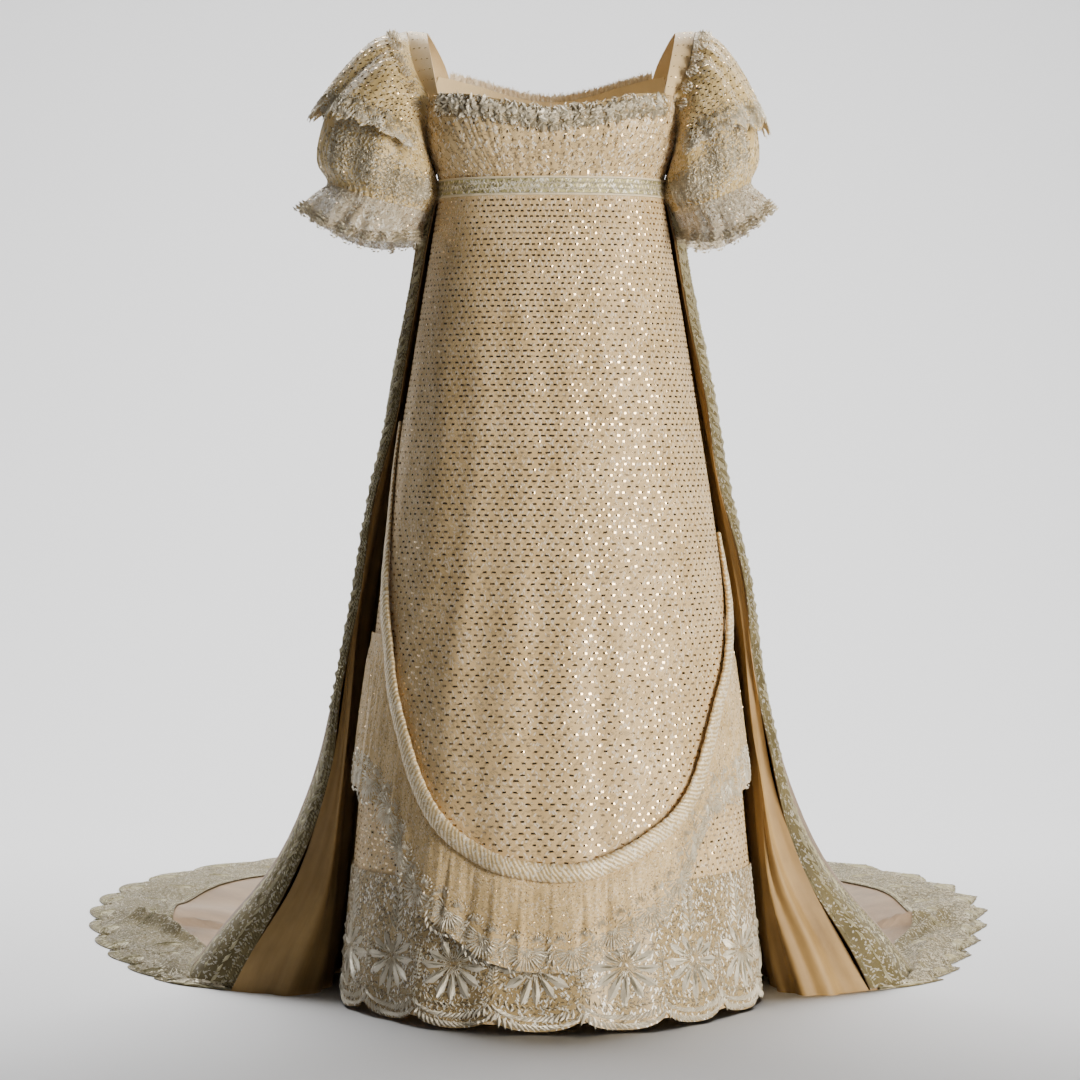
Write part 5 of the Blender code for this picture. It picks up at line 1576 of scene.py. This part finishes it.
def train_base(across, down, layer):
    """The train without folds: waist + (touch - waist) x drape share + (hem - touch) x run on the floor."""
    share, drop, run = 1 - np.abs(across), np.clip(down, 0, 1), np.clip(down - 1, 0, 1)
    side = np.where(across < 0, -1.0, 1.0)
    waist_angle = side * curve(RIBS["share"], RIBS["waist_angle"], share)
    waist = body(waist_angle, train_top, TRAIN_OUT)[..., :2]
    touch, hem = rib_line(layer, across), rib_line("hem", across)
    spread = curve(*DRAPE, drop)
    if layer == "panel":
        spread = spread ** (1 + 0.2 * ease(0, 0.08, share))
    level = waist + (touch - waist) * spread[..., None] + (hem - touch) * run[..., None]
    if layer == "panel":
        swell = ease(0, 0.05, drop) * (1 - ease(0.15, 0.5, drop))
        level[..., 0] += side * PANEL_BULGE * swell * np.sin(np.pi * np.clip(share / 0.3, 0, 1))
    height = train_top * (1 - drop)
    angle = np.degrees(np.arctan2(level[..., 0], -level[..., 1]))
    room = OFF_SKIRT_TOP + (OFF_SKIRT_LOW - OFF_SKIRT_TOP) * (1 - ease(0.45, 0.85, height))
    least = np.linalg.norm(body(angle, height, room)[..., :2], axis=-1)
    radius = np.linalg.norm(level, axis=-1)
    pushed = (radius**40 + least**40) ** (1 / 40) / radius - 1
    level = level * (1 + pushed * ease(0, 0.05, drop) * (1 - ease(0, 0.1, run)))[..., None]
    return np.concatenate([level, height[..., None] - SHOULDER], axis=-1)


def train_point(across, down, layer):
    """The train's inner face: the base moved sideways by its folds, and up by creases on the floor."""
    across, down = np.broadcast_arrays(np.asarray(across, float), np.asarray(down, float))
    folds, depth = FOLD_COUNT[layer]
    base = train_base(across, down, layer)
    ahead = train_base(np.minimum(across + 0.01, 1), down, layer)
    ahead = ahead - train_base(np.maximum(across - 0.01, -1), down, layer)
    level = unit(np.stack([-ahead[..., 1], ahead[..., 0]], axis=-1))
    hang = np.clip(down, 0, 1)
    swell = np.sin(np.pi * hang) * (1 - np.abs(across) ** 12)
    wave = 0.5 - 0.5 * np.cos(np.pi * across * folds)
    share = 1 - np.abs(across)
    wander = across * 40 + 1.5 * np.sin(across * 9 + down * 1.3)
    both = 0.0025 * (1 + np.sin(wander)) * ease(0.0, 0.12, share)
    flutter = 0.0035 * np.sin(hang * 26 + 2 * np.sign(across))
    edge = flutter * np.exp(-((share / 0.05) ** 2)) * ease(0.05, 0.3, hang)
    if layer == "lining":
        inner = across * 74 + 1.2 * np.sin(across * 13 + down * 2)
        both = both + 0.0045 * (np.sin(inner) - 1) * ease(0.03, 0.12, share) * ease(0.2, 0.7, hang)
    moved = depth * swell * wave + (both + edge) * ease(0.02, 0.3, hang) * (1 - ease(1.0, 1.25, down))
    base[..., :2] += moved[..., None] * level
    run = np.clip(down - 1, 0, 1)
    crease = 0.0045 * (1 + np.sin(across * 31 + run * 5.5 + 1.2 * np.sin(across * 12))) * np.sin(np.pi * run)
    crease = crease + 0.0190 * np.exp(-(((share - 0.30 - 0.14 * run) / 0.014) ** 2)) * np.sin(np.pi * run)
    crease = crease + 0.0150 * np.exp(-(((share - 0.50 + 0.12 * run) / 0.012) ** 2)) * np.sin(np.pi * run)
    base[..., 2] += crease * ease(0.04, 0.12, share) * (layer == "panel")
    return base


# %% Lining and panel
TRAIN_COLUMNS, TRAIN_ROWS = 221, 62
HANGING_ROWS = 40  # of them, from the waist to the floor
half = 1 - np.linspace(0, 1, TRAIN_COLUMNS // 2 + 1) ** 1.15
train_across = np.concatenate([half, -half[-2::-1]])[None, :]
on_ground = np.linspace(1, 2, TRAIN_ROWS - HANGING_ROWS + 1)[1:]
train_down = np.concatenate([np.linspace(0, 1, HANGING_ROWS), on_ground])[:, None]
on_floor = ease(0.96, 1.02, train_down)[..., None]


def at_train(across, down):
    """Row and column of a place on the train."""
    column = np.interp(-across, -train_across[0], np.arange(TRAIN_COLUMNS))
    return np.interp(down, train_down[:, 0], np.arange(TRAIN_ROWS)), column


lining = Cloth(train_point(train_across, train_down, "lining"), upward=on_floor)
obj = dressed(wall("train_lining_satin", lining, NET, satin), "cream_satin", "train_lining")
panel = Cloth(train_point(train_across, train_down, "panel"), upward=on_floor)
closed = ease(0.0, 0.03, 1 - np.abs(train_across))[..., None]  # both layers meet at the front edges
panel = panel.raised(NET + LEAST_GAP + (PANEL_LIFT - LEAST_GAP) * closed, on_floor)
obj = dressed(wall("train_panel_tissue", panel, NET, tissue), "silver_tissue", "train_panel")

# %% [markdown]
# ## Embroidery on the train
# A border of net goes round the hem, with a palmette in each of its tongues, which are round on the
# wearer's right and ragged points on the left. Its grid runs from the hem line inwards and outwards, and
# lies on the panel's own creases. It is grey-green with age, and only its ridges still shine.

# %% Train's hem border
TONGUES, TONGUE_LENGTH, HEM_BORDER_WIDTH = 25, 0.052, 0.175
HEM_SHARE_LINE = 0.75  # where the hem lies between the border's inner line, 0, and the tips, 1
PANEL_TOP = 2 * NET + PANEL_LIFT


def train_border(across, share):
    """The hem's point plus the run's direction times a way out, from inside the hem to the tips."""
    hem = rib_line("hem", across)
    run = hem - rib_line("panel", across)
    reach = np.linalg.norm(run, axis=-1, keepdims=True)
    run = run / reach
    opened = ease(0.26, 0.42, 1 - np.abs(across))
    narrow = reach[..., 0] * 0.97
    width = narrow + (HEM_BORDER_WIDTH - narrow) * opened
    place = (1 - across) / 2 * TONGUES
    inside = 2 * (place % 1) - 1
    rounded = np.sqrt(np.clip(1 - inside**2, 0, 1))
    pointed = (1 - np.abs(inside)) ** 0.8 + 0.12 * np.abs(np.sin(place * 21))
    tongue = TONGUE_LENGTH * np.where(across > 0, pointed, rounded)
    out = -width * (1 - share / HEM_SHARE_LINE) * (share < HEM_SHARE_LINE)
    past_hem = np.clip((share - HEM_SHARE_LINE) / (1 - HEM_SHARE_LINE), 0, 1)
    out = out + past_hem * (0.012 + tongue)
    ripple = 0.0016 * (1 + np.sin(place * 5.1 + share * 3)) * np.sin(np.pi * np.clip(share / 0.9, 0, 1))
    under = train_point(across, 2 + np.clip(out / reach[..., 0], -1, 0), "panel")[..., 2] + SHOULDER
    height = (under + PANEL_TOP + GAP) * (1 - ease(0.8, 0.97, share)) + 0.0006 + ripple
    return np.concatenate([hem + run * out[..., None], height[..., None] - SHOULDER], axis=-1)


STEPS, LAST = 18, 14  # columns a tongue, and the number of the last row
border_across = 1 - np.linspace(0, 2, TONGUES * STEPS + 1)[None, :]
border_share = np.linspace(0, 1, LAST + 1)[:, None]
across, share = np.broadcast_arrays(border_across, border_share)
hem_border = Cloth(train_border(across, share), upward=1.0)
hem_border.overhang = 0.1  # or leaves would jump the slits between the tongues
room = np.linalg.norm(hem_border.points[-4] - hem_border.points[0], axis=-1)


def on_border(row, column, turn, size):
    """Anchors on the train's border, smaller where it is narrow."""
    small = np.clip(np.interp(column, np.arange(len(room)), room) / 0.125, 0.15, 1.35)
    return np.column_stack([row + 0 * column, column, turn + 0 * column, size * small])


obj = wall("train_hem_border_net", hem_border, NET, train_net)
dressed(obj, "silver_embroidery", "train_hem_border")

# %% Leaves on the hem border
SPRAY = np.vstack([fan(7, 62, 0.006, 0.034, 0.0062), fan(4, 40, 0.004, 0.020, 0.0040),
                   feather(0.050, 7, 0.014, 0.0034, 42)])
outwards = math.pi
middle = (np.arange(TONGUES) + 0.5) * STEPS
between = np.arange(1, TONGUES) * float(STEPS)
line = np.arange(1.5, TONGUES * STEPS - 1.5, 0.95)
line = line[np.abs(2 * (line / STEPS % 1) - 1) < 0.80]
lean = 0.5 * np.where(np.arange(len(line)) % 2, 1, -1)
edge_leaf, braid_leaf = [(0, -0.006, 0, 0.012, 0.0042)], [(0, -0.003, 0, 0.0085, 0.0030)]
parts = []
for row, column, turn, size, spray, height, jitter in (
        (9.4, middle, outwards, 0.95, SPRAY, 0.0022, 0.2),
        (2.6, between, outwards, 0.62, SPRAY, 0.0020, 0.2),
        (13.0, line, outwards + lean, 1.0, edge_leaf, 0.0016, 0.3),
        (0.6, line, math.pi / 2 + 0.5, 1.0, braid_leaf, 0.0014, 0.2)):
    parts.append(embroider(hem_border, on_border(row, column, turn, size), spray, height, NET, jitter))
n = 7000
row, column = rng.uniform(0.5, LAST - 0.6, n), rng.uniform(2, TONGUES * STEPS - 2, n)
parts.append(glitter(hem_border, row, column, 0.0065, 0.0022, 0.0010, lift=NET))
sewn("train_hem_border_embroidery", parts, [grey_green, dull_silver], "silver_embroidery",
     which=[0, 0, 0, 0, 1])

# %% [markdown]
# ## Front edge bands
# A band of slanting leaves between braids runs down each front edge of the train and ends in a round
# corner on the floor. It is read off the panel's surface and moved out along its normals, so the two
# never cross.

# %% Front edge bands
EDGE_SHARE = ((0, 0.5, 0.8, 1, 2), (0.072, 0.100, 0.128, 0.145, 0.130))  # the part of each side it covers
BAND_BITS_EACH = 1100


def leaf_row(band, rows, column, turn, length, width, height, jitter):
    """Leaves one above the other, all leaning the same way."""
    anchors = anchors_at((rows, 0 * rows + column), turn)
    leaf = np.array([(0, -length / 2, 0, length, width)])
    return embroider(band, anchors, leaf, height, NET, jitter)


for side, sign in (("left", 1), ("right", -1)):
    share = np.linspace(0.0015, 1, 14)[None, :]
    down = np.concatenate([np.linspace(0.004, 1, 100), np.linspace(1, 1.93, 8)[1:]])[:, None]
    end = np.sqrt(np.clip(1 - np.clip((down - 1.80) / 0.135, 0, 1) ** 2, 0.0, 1))
    lobes = 1 + 0.26 * ease(0.72, 0.9, down) * (np.abs(np.sin(np.pi * (down - 0.72) / 0.40)) - 0.3)
    distance = np.interp(down, *EDGE_SHARE) * (0.35 + 0.65 * end) * lobes * share
    across = sign * (1 - distance)
    across = across if sign > 0 else across[:, ::-1]
    row, column = at_train(across, down + 0 * across)
    point, normal = panel.read(row, column)[:2]
    from_edge = share if sign > 0 else share[:, ::-1]
    off = (NET + 0.0001 + (GAP - 0.0001) * ease(0.0, 0.3, from_edge))[..., None]
    band = Cloth(point + off * unit(normal), upward=ease(0.96, 1.02, down)[..., None])
    obj = wall(f"train_edge_{side}_net", band, NET, train_net)
    dressed(obj, "silver_embroidery", f"train_edge_{side}")
    rows = np.arange(0.7, 98.5, 1.45)
    parts = [leaf_row(band, rows, column, turn, length, length * 0.24, 0.0026, 0.3)
             for column, turn, length in ((3.4, 0.62, 0.026), (9.4, -0.62, 0.026), (6.4, 0.0, 0.016))]
    rows = np.arange(0.3, 99, 0.42)
    for column in (0.7, 12.3, 11.2):
        parts.append(leaf_row(band, rows, column, 0.35, 0.0064, 0.0026, 0.0016, 0.15))
    n = BAND_BITS_EACH
    parts.append(glitter(band, rng.uniform(1, 99, n), rng.uniform(0.6, 12.4, n), 0.0036, 0.0012, lift=NET))
    sewn(f"train_edge_{side}_embroidery", parts, [grey_green, dull_silver], "silver_embroidery",
         which=[0, 0, 0, 0, 0, 0, 1])
